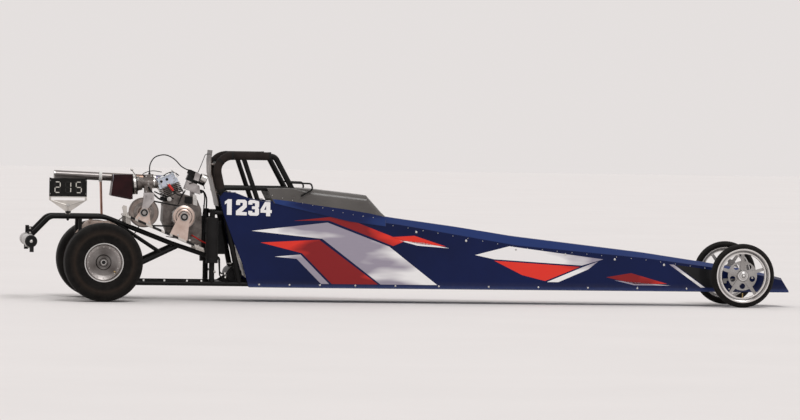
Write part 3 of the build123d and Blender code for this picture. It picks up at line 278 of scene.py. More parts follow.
def place_mesh(name, mesh, body, finish_name, smooth=38.0):
    """An object for a mesh whose points are in the row frame, shaded smooth up to a turn in degrees."""
    mesh.shade_smooth()
    mesh.set_sharp_from_angle(angle=math.radians(smooth))
    mesh.materials.clear()
    mesh.materials.append(finish(finish_name))
    made = bpy.data.objects.new(name, mesh)
    bpy.context.scene.collection.objects.link(made)
    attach(made, body)
    return made


# Finishes


def opaque(colour):
    """A colour, or the grey of one number, with full opacity."""
    return tuple(colour)[:3] + (1.0,) if hasattr(colour, "__len__") else (colour, colour, colour, 1.0)


class Graph:
    """Short ways to wire the nodes of one material."""

    def __init__(self, name):
        self.material = bpy.data.materials.new(name)
        self.material.use_nodes = True
        self.tree = self.material.node_tree
        self.shader = self.tree.nodes["Principled BSDF"]
        self.place = self.tree.nodes.new("ShaderNodeTexCoord").outputs["Object"]

    def node(self, kind, feeds, **settings):
        made = self.tree.nodes.new("ShaderNode" + kind)
        for key, value in settings.items():
            setattr(made, key, value)
        for key, value in feeds.items():
            self.feed(made.inputs[key], value)
        return made

    def feed(self, socket, value):
        if isinstance(value, bpy.types.NodeSocket):
            self.tree.links.new(value, socket)
        else:
            socket.default_value = opaque(value) if socket.type == "RGBA" else value

    def set(self, **values):
        for key, value in values.items():
            self.feed(self.shader.inputs[key.replace("_", " ")], value)

    def along(self, axis):
        """The point's place along one axis, in metres."""
        return self.node("SeparateXYZ", {"Vector": self.place}).outputs[axis]

    def stretched(self, scale):
        return self.node("Mapping", {"Vector": self.place, "Scale": scale}).outputs["Vector"]

    def noise(self, scale, detail=3.0, rough=0.5, stretch=None):
        place = self.stretched(stretch) if stretch else self.place
        return self.node("TexNoise", {"Vector": place, "Scale": scale, "Detail": detail,
                                      "Roughness": rough}).outputs["Fac"]

    def cells(self, scale, output="Distance"):
        return self.node("TexVoronoi", {"Vector": self.place, "Scale": scale}).outputs[output]

    def rings(self, radius, scale):
        """Fine turned rings, by the distance from an axis."""
        line = self.node("CombineXYZ", {"X": radius}).outputs["Vector"]
        return self.node("TexNoise", {"Vector": line, "Scale": scale, "Detail": 4.0,
                                      "Roughness": 0.7}).outputs["Fac"]

    def ramp(self, value, *stops):
        made = self.node("ValToRGB", {"Fac": value})
        elements = made.color_ramp.elements
        for k, (position, colour) in enumerate(stops):
            element = elements[k] if k < 2 else elements.new(position)
            element.position = position
            element.color = opaque(colour)
        return made.outputs["Color"]

    def maths(self, operation, a, b=0.0):
        made = self.node("Math", {}, operation=operation)
        for socket, value in zip(made.inputs, (a, b)):
            self.feed(socket, value)
        return made.outputs["Value"]

    def span(self, value, low, high):
        return self.node("MapRange", {"Value": value, "To Min": low, "To Max": high}).outputs["Result"]

    def blend(self, share, first, second, mode="MIX"):
        made = self.node("Mix", {"Factor": share}, data_type="RGBA", blend_type=mode)
        self.feed(made.inputs[MIX_FIRST], first)
        self.feed(made.inputs[MIX_SECOND], second)
        return made.outputs[MIX_RESULT]

    def bump(self, height, distance, strength=1.0, under=None):
        feeds = {"Height": height, "Distance": distance, "Strength": strength}
        if under:
            feeds["Normal"] = under
        return self.node("Bump", feeds).outputs["Normal"]

    def from_axle(self, x, z):
        """Distances ahead of a lateral axis and above it."""
        return self.maths("SUBTRACT", self.along("X"), x), self.maths("SUBTRACT", self.along("Z"), z)

    def radius_from(self, x, z):
        """Distance from a lateral axis, in metres."""
        squares = [self.maths("MULTIPLY", reach, reach) for reach in self.from_axle(x, z)]
        return self.maths("SQRT", self.maths("ADD", *squares))

    def angle_from(self, x, z):
        """Turn round a lateral axis."""
        ahead, above = self.from_axle(x, z)
        return self.maths("ARCTAN2", above, ahead)

    def shoulder(self):
        """Height of the body's shoulder line at the point's station, in metres."""
        low, high = SHOULDER_LINE[0][0], SHOULDER_LINE[-1][0]
        share = self.node("MapRange", {"Value": self.along("X"), "From Min": at(low, 0, 0).x,
                                       "From Max": at(high, 0, 0).x}).outputs["Result"]
        return self.ramp(share, *[((station - low) / (high - low), z / 1000) for station, z in SHOULDER_LINE])


# Each name with its first colour, second colour, mottle scale, lower and upper roughness, metallic, coat,
# grain scale and grain depth
PLAIN_FINISHES = {
    "frame_black": ((0.004, 0.004, 0.004), (0.0085, 0.0080, 0.0076), 9, 0.36, 0.52, 0.0, 0.0, 900, 0.00010),
    "chrome": ((0.55, 0.53, 0.52), (0.74, 0.73, 0.72), 6, 0.08, 0.18, 1.0, 0.0, 500, 0.00003),
    "polished_aluminium": ((0.50, 0.49, 0.48), (0.72, 0.71, 0.70), 14, 0.18, 0.32, 1.0, 0.0, 700, 0.00005),
    "bright_rim": ((0.66, 0.63, 0.61), (0.86, 0.84, 0.83), 10, 0.16, 0.28, 1.0, 0.0, 700, 0.00004),
    "polished_blue": ((0.44, 0.49, 0.60), (0.66, 0.71, 0.80), 14, 0.26, 0.42, 1.0, 0.0, 700, 0.00005),
    "plate_aluminium": ((0.46, 0.43, 0.40), (0.66, 0.63, 0.59), 12, 0.30, 0.48, 0.9, 0.0, 1200, 0.00006),
    "cast_alloy": ((0.105, 0.090, 0.082), (0.235, 0.205, 0.190), 26, 0.40, 0.62, 0.6, 0.0, 420, 0.00060),
    "steel": ((0.28, 0.27, 0.26), (0.46, 0.45, 0.44), 30, 0.26, 0.42, 1.0, 0.0, 900, 0.00006),
    "bolt_steel": ((0.48, 0.47, 0.45), (0.68, 0.66, 0.64), 60, 0.22, 0.36, 1.0, 0.0, 1200, 0.00005),
    "black_steel": ((0.012, 0.012, 0.013), (0.030, 0.029, 0.028), 40, 0.34, 0.50, 0.4, 0.0, 900, 0.00008),
    "brass": ((0.50, 0.34, 0.13), (0.62, 0.45, 0.20), 60, 0.22, 0.34, 1.0, 0.0, 900, 0.00004),
    "copper_tint": ((0.40, 0.21, 0.16), (0.56, 0.36, 0.29), 16, 0.25, 0.40, 1.0, 0.0, 900, 0.00005),
    "maroon_gloss": ((0.014, 0.0035, 0.0045), (0.026, 0.0055, 0.007), 18, 0.26, 0.40, 0.0, 0.0, 800, 0.00008),
    "head_alloy": ((0.52, 0.56, 0.63), (0.70, 0.75, 0.81), 22, 0.40, 0.58, 0.6, 0.0, 900, 0.00008),
    "box_grey": ((0.33, 0.30, 0.295), (0.52, 0.485, 0.48), 20, 0.40, 0.56, 0.2, 0.0, 900, 0.00008),
    "foam_brown": ((0.013, 0.0095, 0.0085), (0.027, 0.020, 0.018), 12, 0.70, 0.88, 0.0, 0.0, 1300, 0.00030),
    "support_tan": ((0.50, 0.375, 0.315), (0.70, 0.575, 0.515), 14, 0.26, 0.42, 0.9, 0.0, 900, 0.00006),
    "guard_tan": ((0.58, 0.43, 0.36), (0.72, 0.60, 0.53), 9, 0.34, 0.50, 0.2, 0.0, 900, 0.00006),
    "belt_rubber": ((0.008, 0.008, 0.008), (0.020, 0.019, 0.018), 60, 0.60, 0.80, 0.0, 0.0, 900, 0.00015),
    "hose_rubber": ((0.007, 0.007, 0.007), (0.016, 0.015, 0.015), 60, 0.45, 0.62, 0.0, 0.0, 900, 0.00010),
    "black_plastic": ((0.007, 0.007, 0.0075), (0.014, 0.014, 0.0145), 30, 0.38, 0.54, 0, 0.05, 1500, 0.00012),
    "grip_rubber": ((0.007, 0.007, 0.007), (0.016, 0.015, 0.015), 60, 0.62, 0.80, 0.0, 0.0, 1600, 0.00030),
    "plug_red": ((0.46, 0.018, 0.014), (0.62, 0.035, 0.025), 60, 0.32, 0.46, 0.0, 0.2, 900, 0.00010),
    "red_cable": ((0.40, 0.015, 0.012), (0.55, 0.030, 0.022), 80, 0.38, 0.52, 0.0, 0.0, 1500, 0.00008),
    "clip_white": ((0.66, 0.65, 0.63), (0.80, 0.79, 0.77), 60, 0.40, 0.55, 0.0, 0.0, 900, 0.00006),
    "board_face": ((0.0065, 0.006, 0.006), (0.011, 0.0105, 0.010), 40, 0.40, 0.55, 0.0, 0.0, 900, 0.00006),
    "segment_lit": ((0.60, 0.57, 0.52), (0.74, 0.71, 0.65), 60, 0.40, 0.52, 0.0, 0.0, 900, 0.00004),
    "segment_dark": ((0.020, 0.019, 0.018), (0.032, 0.030, 0.029), 60, 0.40, 0.52, 0.0, 0.0, 900, 0.00004),
}


def plain_finish(graph, row):
    """Mottled colour, uneven gloss and a fine grain from one row of the table."""
    first, second, mottle, low, high, metal, coat, grain, depth = row
    patches = graph.noise(mottle, 5, 0.6)
    graph.set(Base_Color=graph.ramp(patches, (0.32, first), (0.68, second)), Metallic=metal, Coat_Weight=coat,
              Coat_Roughness=0.12, Specular_IOR_Level=0.5 if metal > 0.5 else 0.13,
              Roughness=graph.span(graph.noise(mottle * 2.7, 4), low, high),
              Normal=graph.bump(graph.noise(grain, 2), depth))


def body_paint(graph, colours):
    """Deep navy wrap with a fine flake, light dust low down and a clear coat, and painted light: a lighter
    navy above the shoulder line for the lit upper chamfer, and a painted highlight strip just above the foot.
    """
    base = graph.ramp(graph.noise(2.2, 4, 0.55), (0.30, colours.navy_deep), (0.72, colours.navy))
    flake = graph.ramp(graph.cells(2600, "Color"), (0.86, 0.0), (0.98, 1.0))
    base = graph.blend(graph.maths("MULTIPLY", flake, 0.05), base, (0.14, 0.20, 0.38))
    height = graph.along("Z")
    dust = graph.ramp(height, (0.085, 1.0), (0.135, 0.0))
    dust = graph.maths("MULTIPLY", graph.maths("MULTIPLY", dust, graph.noise(38, 5, 0.7)), 0.35)
    # Painted light: lighter navy above the shoulder line stands in for the light on the upward-facing chamfer
    band = graph.ramp(graph.maths("SUBTRACT", height, graph.shoulder()), (0.0, 0.0), (0.004, 1.0))
    # Painted highlight: a lighter strip just above the foot stands in for the light along the rolled lower
    # edge
    band = graph.maths("MAXIMUM", band, graph.ramp(height, (0.098, 0.8), (0.112, 0.0)))
    base = graph.blend(graph.maths("MULTIPLY", band, 0.75), base, colours.navy_lit_shoulder)
    graph.set(Base_Color=graph.blend(dust, base, (0.12, 0.11, 0.11)), Metallic=0.0, Coat_Weight=0.10,
              Coat_Roughness=0.08, Specular_IOR_Level=0.10,
              Roughness=graph.span(graph.noise(14, 3), 0.26, 0.38),
              Normal=graph.bump(graph.noise(5.5, 2), 0.0007, 0.5, graph.bump(graph.noise(900, 1), 0.00004)))


def wrap_print(graph, first, second):
    """Printed film: a slow fade along the car with a faint brushed streak."""
    fade = graph.maths("MULTIPLY", graph.along("X"), 1.1)
    fade = graph.maths("ADD", fade, graph.noise(3.0, 2, 0.4, (1, 1, 4)))
    fade = graph.maths("FRACT", graph.maths("ADD", graph.maths("MULTIPLY", fade, 0.55), 0.46))
    fade = graph.maths("ABSOLUTE", graph.maths("SUBTRACT", fade, 0.5))
    streaks = graph.noise(60, 3, 0.6, (0.15, 1, 6))
    colour = graph.ramp(fade, (0.10, second), (0.22, first))
    colour = graph.blend(graph.maths("MULTIPLY", streaks, 0.16), colour, (0.9, 0.88, 0.88), "OVERLAY")
    graph.set(Base_Color=colour, Metallic=0.0, Coat_Weight=0.12, Coat_Roughness=0.10, Specular_IOR_Level=0.15,
              Roughness=graph.span(graph.noise(16, 3), 0.26, 0.38),
              Normal=graph.bump(graph.noise(6, 2), 0.0006, 0.5))


def smoked_plastic(graph, colours):
    """Smoked screen sheet with a faint haze and fine wiping marks."""
    marks = graph.noise(55, 4, 0.7, (1, 1, 5))
    tint = graph.ramp(graph.noise(4, 3), (0.3, colours.screen_dark), (0.7, colours.screen_light))
    graph.set(Base_Color=tint, Alpha=0.80, Roughness=graph.span(marks, 0.12, 0.28), Specular_IOR_Level=0.3,
              Normal=graph.bump(marks, 0.00006))


def tyre_rubber(graph, axle_x, axle_z, dusty):
    """Matt tyre: moulded sidewall rings, a scrubbed tread and brown dust in patches."""
    radius, tyre_radius = graph.radius_from(axle_x, axle_z), axle_z
    tread = graph.ramp(radius, (tyre_radius - 0.022, 0.0), (tyre_radius - 0.006, 1.0))
    rings = graph.maths("SINE", graph.maths("MULTIPLY", radius, 900.0))
    wall_only = graph.maths("SUBTRACT", 1.0, tread)
    rings = graph.maths("MULTIPLY", graph.ramp(rings, (0.80, 0.0), (0.95, 1.0)), wall_only)
    base = graph.ramp(graph.noise(16, 6, 0.65), (0.30, (0.0036, 0.0032, 0.0030)),
                      (0.72, (0.0088, 0.0076, 0.0070)))
    worn = graph.blend(graph.maths("MULTIPLY", tread, 0.7), base, (0.012, 0.011, 0.0105))
    wall = graph.ramp(radius, (tyre_radius - 0.075, 0.0), (tyre_radius - 0.058, 1.0),
                      (tyre_radius - 0.050, 0.6), (tyre_radius - 0.030, 0.0))
    worn = graph.blend(graph.maths("MULTIPLY", wall, 0.7), worn, (0.030, 0.020, 0.015))
    dust = graph.maths("MULTIPLY", graph.ramp(graph.noise(30, 6, 0.7), (0.45, 0.0), (0.75, 1.0)), dusty)
    grain = graph.bump(graph.noise(520, 3, 0.6), 0.0004)
    graph.set(Base_Color=graph.blend(dust, worn, (0.034, 0.029, 0.025)),
              Roughness=graph.span(graph.noise(22, 4), 0.66, 0.88), Specular_IOR_Level=0.12,
              Normal=graph.bump(rings, 0.0008, 0.6, grain))


def spun_metal(graph, axle_x, axle_z, dark, light, low, high, zones):
    """Spun wheel: fine rings round the axle with soft bright and dark sweeps between them that are painted
    reflection, and darker in some zones of radius.
    """
    radius = graph.radius_from(axle_x, axle_z)
    rings = graph.rings(radius, 620.0)
    turn = graph.angle_from(axle_x, axle_z)
    # Painted reflection: soft bright and dark sweeps round the axle stand in for the reflections on the spun
    # face
    sweep = graph.maths("SINE", graph.maths("ADD", graph.maths("MULTIPLY", turn, 3.0), graph.noise(9, 3)))
    tone = graph.maths("ADD", graph.maths("MULTIPLY", rings, 0.65), graph.maths("MULTIPLY", sweep, 0.10))
    tone = graph.maths("ADD", tone, graph.maths("MULTIPLY", graph.noise(24, 5, 0.6), 0.30))
    metal = graph.ramp(tone, (0.30, dark), (0.70, light))
    graph.set(Base_Color=graph.blend(1.0, metal, graph.ramp(radius, *zones), "MULTIPLY"),
              Metallic=0.9, Roughness=graph.span(rings, low, high), Normal=graph.bump(rings, 0.00008))


def pulley_metal(graph):
    """Machined rings round each pulley's own shaft, with warm tints on the rear one."""
    places = [graph.radius_from(AXLE_X + x / 1000, z / 1000) for x, z in (CRANK, JACKSHAFT)]
    radius = graph.maths("MINIMUM", *places)
    rings = graph.rings(radius, 560.0)
    mottle = graph.maths("MULTIPLY", graph.noise(30, 5), 0.3)
    tone = graph.maths("ADD", graph.maths("MULTIPLY", rings, 0.7), mottle)
    bright = graph.ramp(tone, (0.30, (0.36, 0.345, 0.335)), (0.70, (0.70, 0.69, 0.68)))
    warm = graph.ramp(tone, (0.28, (0.13, 0.085, 0.065)), (0.50, (0.24, 0.20, 0.18)),
                      (0.72, (0.42, 0.39, 0.37)))
    rear = graph.ramp(graph.maths("SUBTRACT", places[1], places[0]), (0.0, 1.0), (0.02, 0.0))
    graph.set(Base_Color=graph.blend(rear, bright, warm), Metallic=1.0,
              Roughness=graph.span(rings, 0.20, 0.36), Normal=graph.bump(rings, 0.00008))


def roller_skin(graph):
    """Pale sleeve on the push roller, with dark ends and brackets."""
    ends = graph.ramp(graph.maths("ABSOLUTE", graph.along("Y")), (0.300, 0.0), (0.303, 1.0))
    brackets = graph.ramp(graph.along("Z"), (0.382, 0.0), (0.385, 1.0))
    pale = graph.ramp(graph.noise(18, 5), (0.3, (0.42, 0.40, 0.39)), (0.7, (0.60, 0.58, 0.57)))
    graph.set(Base_Color=graph.blend(graph.maths("MAXIMUM", ends, brackets), pale, (0.007, 0.007, 0.007)),
              Roughness=graph.span(graph.noise(40, 3), 0.45, 0.7), Specular_IOR_Level=0.15,
              Normal=graph.bump(graph.noise(900, 2), 0.0002))


def deflector_metal(graph):
    """Bent sheet with upright dark and bright streaks, which are painted highlights and shade of the twisted
    sheet, and a dark, ragged upper edge.
    """
    streaks = graph.noise(46, 4, 0.6, (0.8, 1.6, 0.16))
    # Painted light: the bright and dark upright streaks stand in for the highlights and shade along the
    # twisted sheet
    colour = graph.ramp(streaks, (0.40, (0.040, 0.031, 0.027)), (0.50, (0.13, 0.108, 0.096)),
                        (0.62, (0.60, 0.55, 0.52)))
    ragged = graph.maths("ADD", graph.along("Z"), graph.maths("MULTIPLY", graph.noise(30, 3), 0.05))
    # Darker low down, lightest a little below the top, and dark at the ragged upper edge
    height_tone = graph.ramp(ragged, (0.66, (0.42, 0.31, 0.26)), (0.78, (0.86, 0.78, 0.76)),
                      (0.84, (0.86, 0.78, 0.76)), (0.865, (0.20, 0.155, 0.14)))
    graph.set(Base_Color=graph.blend(0.8, colour, height_tone, "MULTIPLY"), Metallic=0.0, Specular_IOR_Level=0.3,
              Roughness=graph.span(graph.noise(40, 3), 0.30, 0.50), Normal=graph.bump(streaks, 0.0016, 0.6))


def exhaust_steel(graph):
    """Steel tube gone straw and blue near the head."""
    near = graph.maths("SUBTRACT", graph.along("X"), AXLE_X)
    near = graph.maths("ADD", near, graph.maths("MULTIPLY", graph.noise(14, 4), 0.12))
    colour = graph.ramp(near, (0.10, (0.20, 0.185, 0.18)), (0.24, (0.24, 0.19, 0.13)),
                        (0.33, (0.21, 0.13, 0.11)), (0.42, (0.11, 0.12, 0.19)))
    marks = graph.noise(120, 4, 0.6, (0.2, 1, 1))
    graph.set(Base_Color=colour, Metallic=1.0, Roughness=graph.span(marks, 0.22, 0.42),
              Normal=graph.bump(marks, 0.00010))


def stitched_vinyl(graph, first, second):
    """Fine-grained vinyl with soft creases."""
    grain = graph.cells(620)
    graph.set(Base_Color=graph.ramp(graph.noise(9, 4), (0.3, first), (0.7, second)), Sheen_Weight=0.03,
              Specular_IOR_Level=0.12, Roughness=graph.span(graph.noise(30, 3), 0.42, 0.60),
              Normal=graph.bump(grain, 0.0004, 0.7, graph.bump(graph.noise(14, 3), 0.003, 0.4)))


def woven(graph, first, second, scale):
    """Woven webbing: crossed ribs and a soft sheen."""
    ribs = []
    for lean in (1, -1):
        feeds = {"Vector": graph.stretched((0.4, lean, 1)), "Scale": scale, "Distortion": 0.4}
        ribs.append(graph.node("TexWave", feeds, bands_direction="DIAGONAL").outputs["Fac"])
    weave = graph.maths("MAXIMUM", *ribs)
    graph.set(Base_Color=graph.ramp(weave, (0.2, first), (0.9, second)), Sheen_Weight=0.4, Roughness=0.82,
              Normal=graph.bump(weave, 0.0006, 0.8, graph.bump(graph.noise(900, 2), 0.0002)))


# Zones of the spun wheels: radius in metres and share of the metal's tone
REAR_WHEEL_ZONES = ((0.034, 0.32), (0.080, 0.50), (0.093, 0.75), (0.106, 1.0))
# On the front wheel the dark band from 140 to 149 mm is painted shade of the rim's hollow barrel inside the
# lip
FRONT_WHEEL_TONE_AND_SHADE_ZONES = ((0.030, 0.55), (0.086, 0.50), (0.124, 0.52), (0.131, 0.95), (0.137, 0.90), (0.140, 0.34),
                     (0.149, 0.42), (0.152, 1.0))


def finish(name):
    """The named material, made the first time that it is asked for."""
    full_name = f"{name}_finish"
    if full_name in bpy.data.materials:
        return bpy.data.materials[full_name]
    colours = bpy.context.scene.drag_car_colours
    graph = Graph(full_name)
    rear, front = AXLE_X, AXLE_X + WHEELBASE / 1000
    rear_z, front_z = REAR_AXLE_Z / 1000, FRONT_AXLE_Z / 1000
    special = {
        "body_navy": lambda: body_paint(graph, colours),
        # Painted light: a fade between the lit shoulder tone and navy, for the windscreen's lower band
        "lit_shoulder_navy": lambda: wrap_print(graph, colours.navy_lit_shoulder, colours.navy),
        "wrap_red": lambda: wrap_print(graph, colours.streak_red, colours.streak_dark_red),
        "wrap_silver": lambda: wrap_print(graph, colours.streak_white, colours.streak_silver),
        "wrap_black": lambda: wrap_print(graph, (0.008, 0.008, 0.009), (0.014, 0.014, 0.016)),
        "wrap_white": lambda: wrap_print(graph, colours.streak_white, (0.72, 0.70, 0.70)),
        "smoked_screen": lambda: smoked_plastic(graph, colours),
        "rear_tyre": lambda: tyre_rubber(graph, rear, rear_z, 0.28),
        "front_tyre": lambda: tyre_rubber(graph, front, front_z, 0.34),
        "rear_wheel_spun": lambda: spun_metal(graph, rear, rear_z, (0.20, 0.175, 0.165), (0.66, 0.62, 0.60),
                                              0.24, 0.40, REAR_WHEEL_ZONES),
        "front_wheel_spun": lambda: spun_metal(graph, front, front_z, (0.56, 0.53, 0.51), (0.86, 0.84, 0.83),
                                               0.18, 0.32, FRONT_WHEEL_TONE_AND_SHADE_ZONES),
        "deflector_metal": lambda: deflector_metal(graph),
        "pulley_metal": lambda: pulley_metal(graph),
        "exhaust_steel": lambda: exhaust_steel(graph),
        "roller_skin": lambda: roller_skin(graph),
        "seat_vinyl": lambda: stitched_vinyl(graph, (0.007, 0.007, 0.0075), (0.015, 0.0145, 0.015)),
        "pad_foam": lambda: stitched_vinyl(graph, (0.007, 0.0065, 0.0065), (0.014, 0.013, 0.013)),
        "harness_web": lambda: woven(graph, (0.012, 0.012, 0.014), (0.030, 0.030, 0.034), 260),
    }
    if name in special:
        special[name]()
    else:
        plain_finish(graph, PLAIN_FINISHES[name])
    return graph.material


# Settings


def length(name, description, default):
    return bpy.props.FloatProperty(name=name, description=description, default=default, min=0.0,
                                   unit="LENGTH", precision=4)


def colour(name, description, default):
    return bpy.props.FloatVectorProperty(name=name, description=description, default=default, size=3, min=0.0,
                                         max=1.0, subtype="COLOR")


class DragCarSizes(bpy.types.PropertyGroup):
    rivet_radius: length("Rivet radius", "Radius of the body's rivet heads", 0.0032)
    rivet_pitch: length("Rivet pitch", "Distance between rivets along a seam", 0.060)
    fastener_radius: length("Fastener radius", "Radius of the body's quarter-turn fasteners", 0.0065)
    film_lift: length("Film thickness", "Thickness of the printed film on the body", 0.0004)
    numeral_height: length("Numeral height", "Height of the race numerals", 0.092)
    numeral_width: length("Numeral width", "Width of the four race numerals together", 0.290)
    web_width: length("Webbing width", "Width of the harness straps", 0.050)
    chain_pitch: length("Chain pitch", "Distance between the chain's rollers", 0.009525)
    voxel: length("Cushion voxel", "Voxel of the cushions' remesh before they are stuffed", 0.006)


class DragCarColours(bpy.types.PropertyGroup):
    navy: colour("Navy", "Body paint where it is lightest", (0.0040, 0.0105, 0.0640))
    navy_deep: colour("Deep navy", "Body paint where it is darkest", (0.0024, 0.0065, 0.0400))
    # Painted light: this lighter navy is the lit tone of the upward-facing shoulder, not a paint of its own
    navy_lit_shoulder: colour("Navy shoulder", "Body paint above the shoulder line", (0.014, 0.036, 0.150))
    streak_red: colour("Red", "Red streaks", (0.72, 0.035, 0.022))
    streak_dark_red: colour("Dark red", "Red streaks where they fade", (0.22, 0.012, 0.014))
    streak_white: colour("White", "Numerals and the light end of the silver streaks", (0.84, 0.82, 0.82))
    streak_silver: colour("Silver", "Silver streaks where they fade", (0.30, 0.27, 0.33))
    screen_dark: colour("Screen dark", "Windscreen where it is darkest", (0.090, 0.083, 0.078))
    screen_light: colour("Screen light", "Windscreen where it is lightest", (0.140, 0.130, 0.123))
    backdrop: colour("Backdrop", "Backdrop and floor", (0.78, 0.745, 0.735))


# Stage


class DRAGCAR_OT_stage(bpy.types.Operator):
    """Camera, lamps, sky and floor"""
    bl_idname = "dragcar.stage"
    bl_label = "Stage"

    def execute(self, context):
        scene = context.scene
        scene.view_settings.view_transform = "Standard"
        self.camera(scene)
        for lamp in LAMPS:
            self.lamp(scene, *lamp)
        self.sky(scene, scene.drag_car_colours)
        self.floor(scene, scene.drag_car_colours)
        return {"FINISHED"}

    def camera(self, scene):
        """Camera of the photo, by its heading, pitch and roll."""
        yaw, pitch, roll = (math.radians(angle) for angle in CAMERA_TURN)
        ahead = Vector((math.sin(yaw) * math.cos(pitch), math.cos(yaw) * math.cos(pitch), math.sin(pitch)))
        flat = Vector((math.cos(yaw), -math.sin(yaw), 0))
        upright = flat.cross(ahead)
        right = flat * math.cos(roll) + upright * math.sin(roll)
        upward = upright * math.cos(roll) - flat * math.sin(roll)
        lens = bpy.data.cameras.new("camera")
        lens.sensor_width, lens.lens, lens.clip_end = CAMERA_SENSOR, CAMERA_LENS, CAMERA_FAR
        camera = bpy.data.objects.new("camera", lens)
        scene.collection.objects.link(camera)
        turn = Matrix((right, upward, -ahead)).transposed().to_4x4()
        camera.matrix_world = Matrix.Translation(CAMERA_PLACE) @ turn
        scene.camera = camera

    def lamp(self, scene, name, place, spread, strength):
        """Sun that shines from a place to the middle of the frame."""
        lamp = bpy.data.lights.new(name, "SUN")
        lamp.angle, lamp.energy = math.radians(spread), strength
        holder = bpy.data.objects.new(name, lamp)
        scene.collection.objects.link(holder)
        holder.location = place
        holder.rotation_euler = (-Vector(place)).to_track_quat("-Z", "Y").to_euler()

    def sky(self, scene, colours):
        """Plain light round the object, and the backdrop's colour for what sees it."""
        world = bpy.data.worlds.new("sky")
        world.use_nodes = True
        tree = world.node_tree
        light = tree.nodes["Background"]
        light.inputs["Color"].default_value = SKY_COLOUR
        light.inputs["Strength"].default_value = SKY_STRENGTH
        shown = tree.nodes.new("ShaderNodeBackground")
        shown.inputs["Color"].default_value = opaque(colours.backdrop)
        rays = tree.nodes.new("ShaderNodeLightPath").outputs

        def larger(first, second):
            """The larger of two sockets' values."""
            made = tree.nodes.new("ShaderNodeMath")
            made.operation = "MAXIMUM"
            tree.links.new(first, made.inputs[0])
            tree.links.new(second, made.inputs[1])
            return made.outputs[0]

        seen = larger(rays["Is Camera Ray"], larger(rays["Is Glossy Ray"], rays["Is Transmission Ray"]))
        mixer = tree.nodes.new("ShaderNodeMixShader")
        for socket, feed in zip(mixer.inputs, (seen, light.outputs[0], shown.outputs[0])):
            tree.links.new(feed, socket)
        tree.links.new(mixer.outputs[0], tree.nodes["World Output"].inputs["Surface"])
        scene.world = world

    def floor(self, scene, colours):
        """Pale floor that keeps the shadow."""
        mesh = bpy.data.meshes.new("floor")
        mesh.from_pydata([(x * FLOOR_HALF, y * FLOOR_HALF, 0) for x, y in SQUARE], [], [(0, 1, 2, 3)])
        graph = Graph("floor_paint")
        tone = graph.ramp(graph.noise(0.8, 5, 0.6), (0.3, tuple(c * 0.97 for c in colours.backdrop)),
                          (0.7, colours.backdrop))
        graph.set(Base_Color=tone, Roughness=0.75, Specular_IOR_Level=0.2)
        mesh.materials.append(graph.material)
        plane = bpy.data.objects.new("floor", mesh)
        scene.collection.objects.link(plane)


# Each node with its finish; the rest of the nodes carry the finish of their material slot
NODE_FINISHES = {
    "rear_tyres": "rear_tyre", "front_tyre_right": "front_tyre", "front_tyre_left": "front_tyre",
    "rear_wheels": "rear_wheel_spun", "front_wheel_right": "front_wheel_spun",
    "front_wheel_left": "front_wheel_spun", "deflector_plate": "deflector_metal",
    "guard_panel": "guard_tan", "clutch_pulleys": "pulley_metal",
    "exhaust_pipe": "exhaust_steel", "exhaust_strut": "copper_tint", "dial_board": "board_face",
    "push_roller": "roller_skin", "clutch_supports": "support_tan", "cylinder_head": "head_alloy",
    "ignition_box": "box_grey",
}


class DRAGCAR_OT_node_finishes(bpy.types.Operator):
    """Finishes of the fixed frame's own solids"""
    bl_idname = "dragcar.node_finishes"
    bl_label = "Solid finishes"

    def execute(self, context):
        slots = {row["node"]: row["material_slot"] for row in frame["record"]["subparts"]}
        for name, thing in NODES.items():
            thing.data.materials.clear()
            thing.data.materials.append(finish(NODE_FINISHES.get(name, slots[name])))
            thing.data.shade_smooth()
            thing.data.set_sharp_from_angle(angle=math.radians(30))
        return {"FINISHED"}


# Body

# Rolled edge of the side sheets, x and z: along the foot, and round the cockpit's rear edge
FOOT_STATIONS = (874, TAPER_X, 3200, 3958)
COCKPIT_EDGE = ((869, 92), (830, 232), (778, 355), (716, 519), (693, 614), (716, 643), (777, 642), (853, 613),
                (928, 595), (990, 592))
# Stations of the quarter-turn fasteners under the shoulder line and along the foot
SHOULDER_FASTENERS = (1860, 2160, 2460, 2760, 3060, 3360, 3660, 3900)
FOOT_FASTENERS = (930, 1110, 1290, 1500, 1740, 2000, 2300, 2600, 2900, 3200, 3500, 3760)


def fastener_profile(radius, height, top):
    """Quarter-turn fastener: a low dome with a sunk middle."""
    return [(-0.5, radius), (0.6, radius), (height, top), (height, 1.4), (0.7, 1.2)]


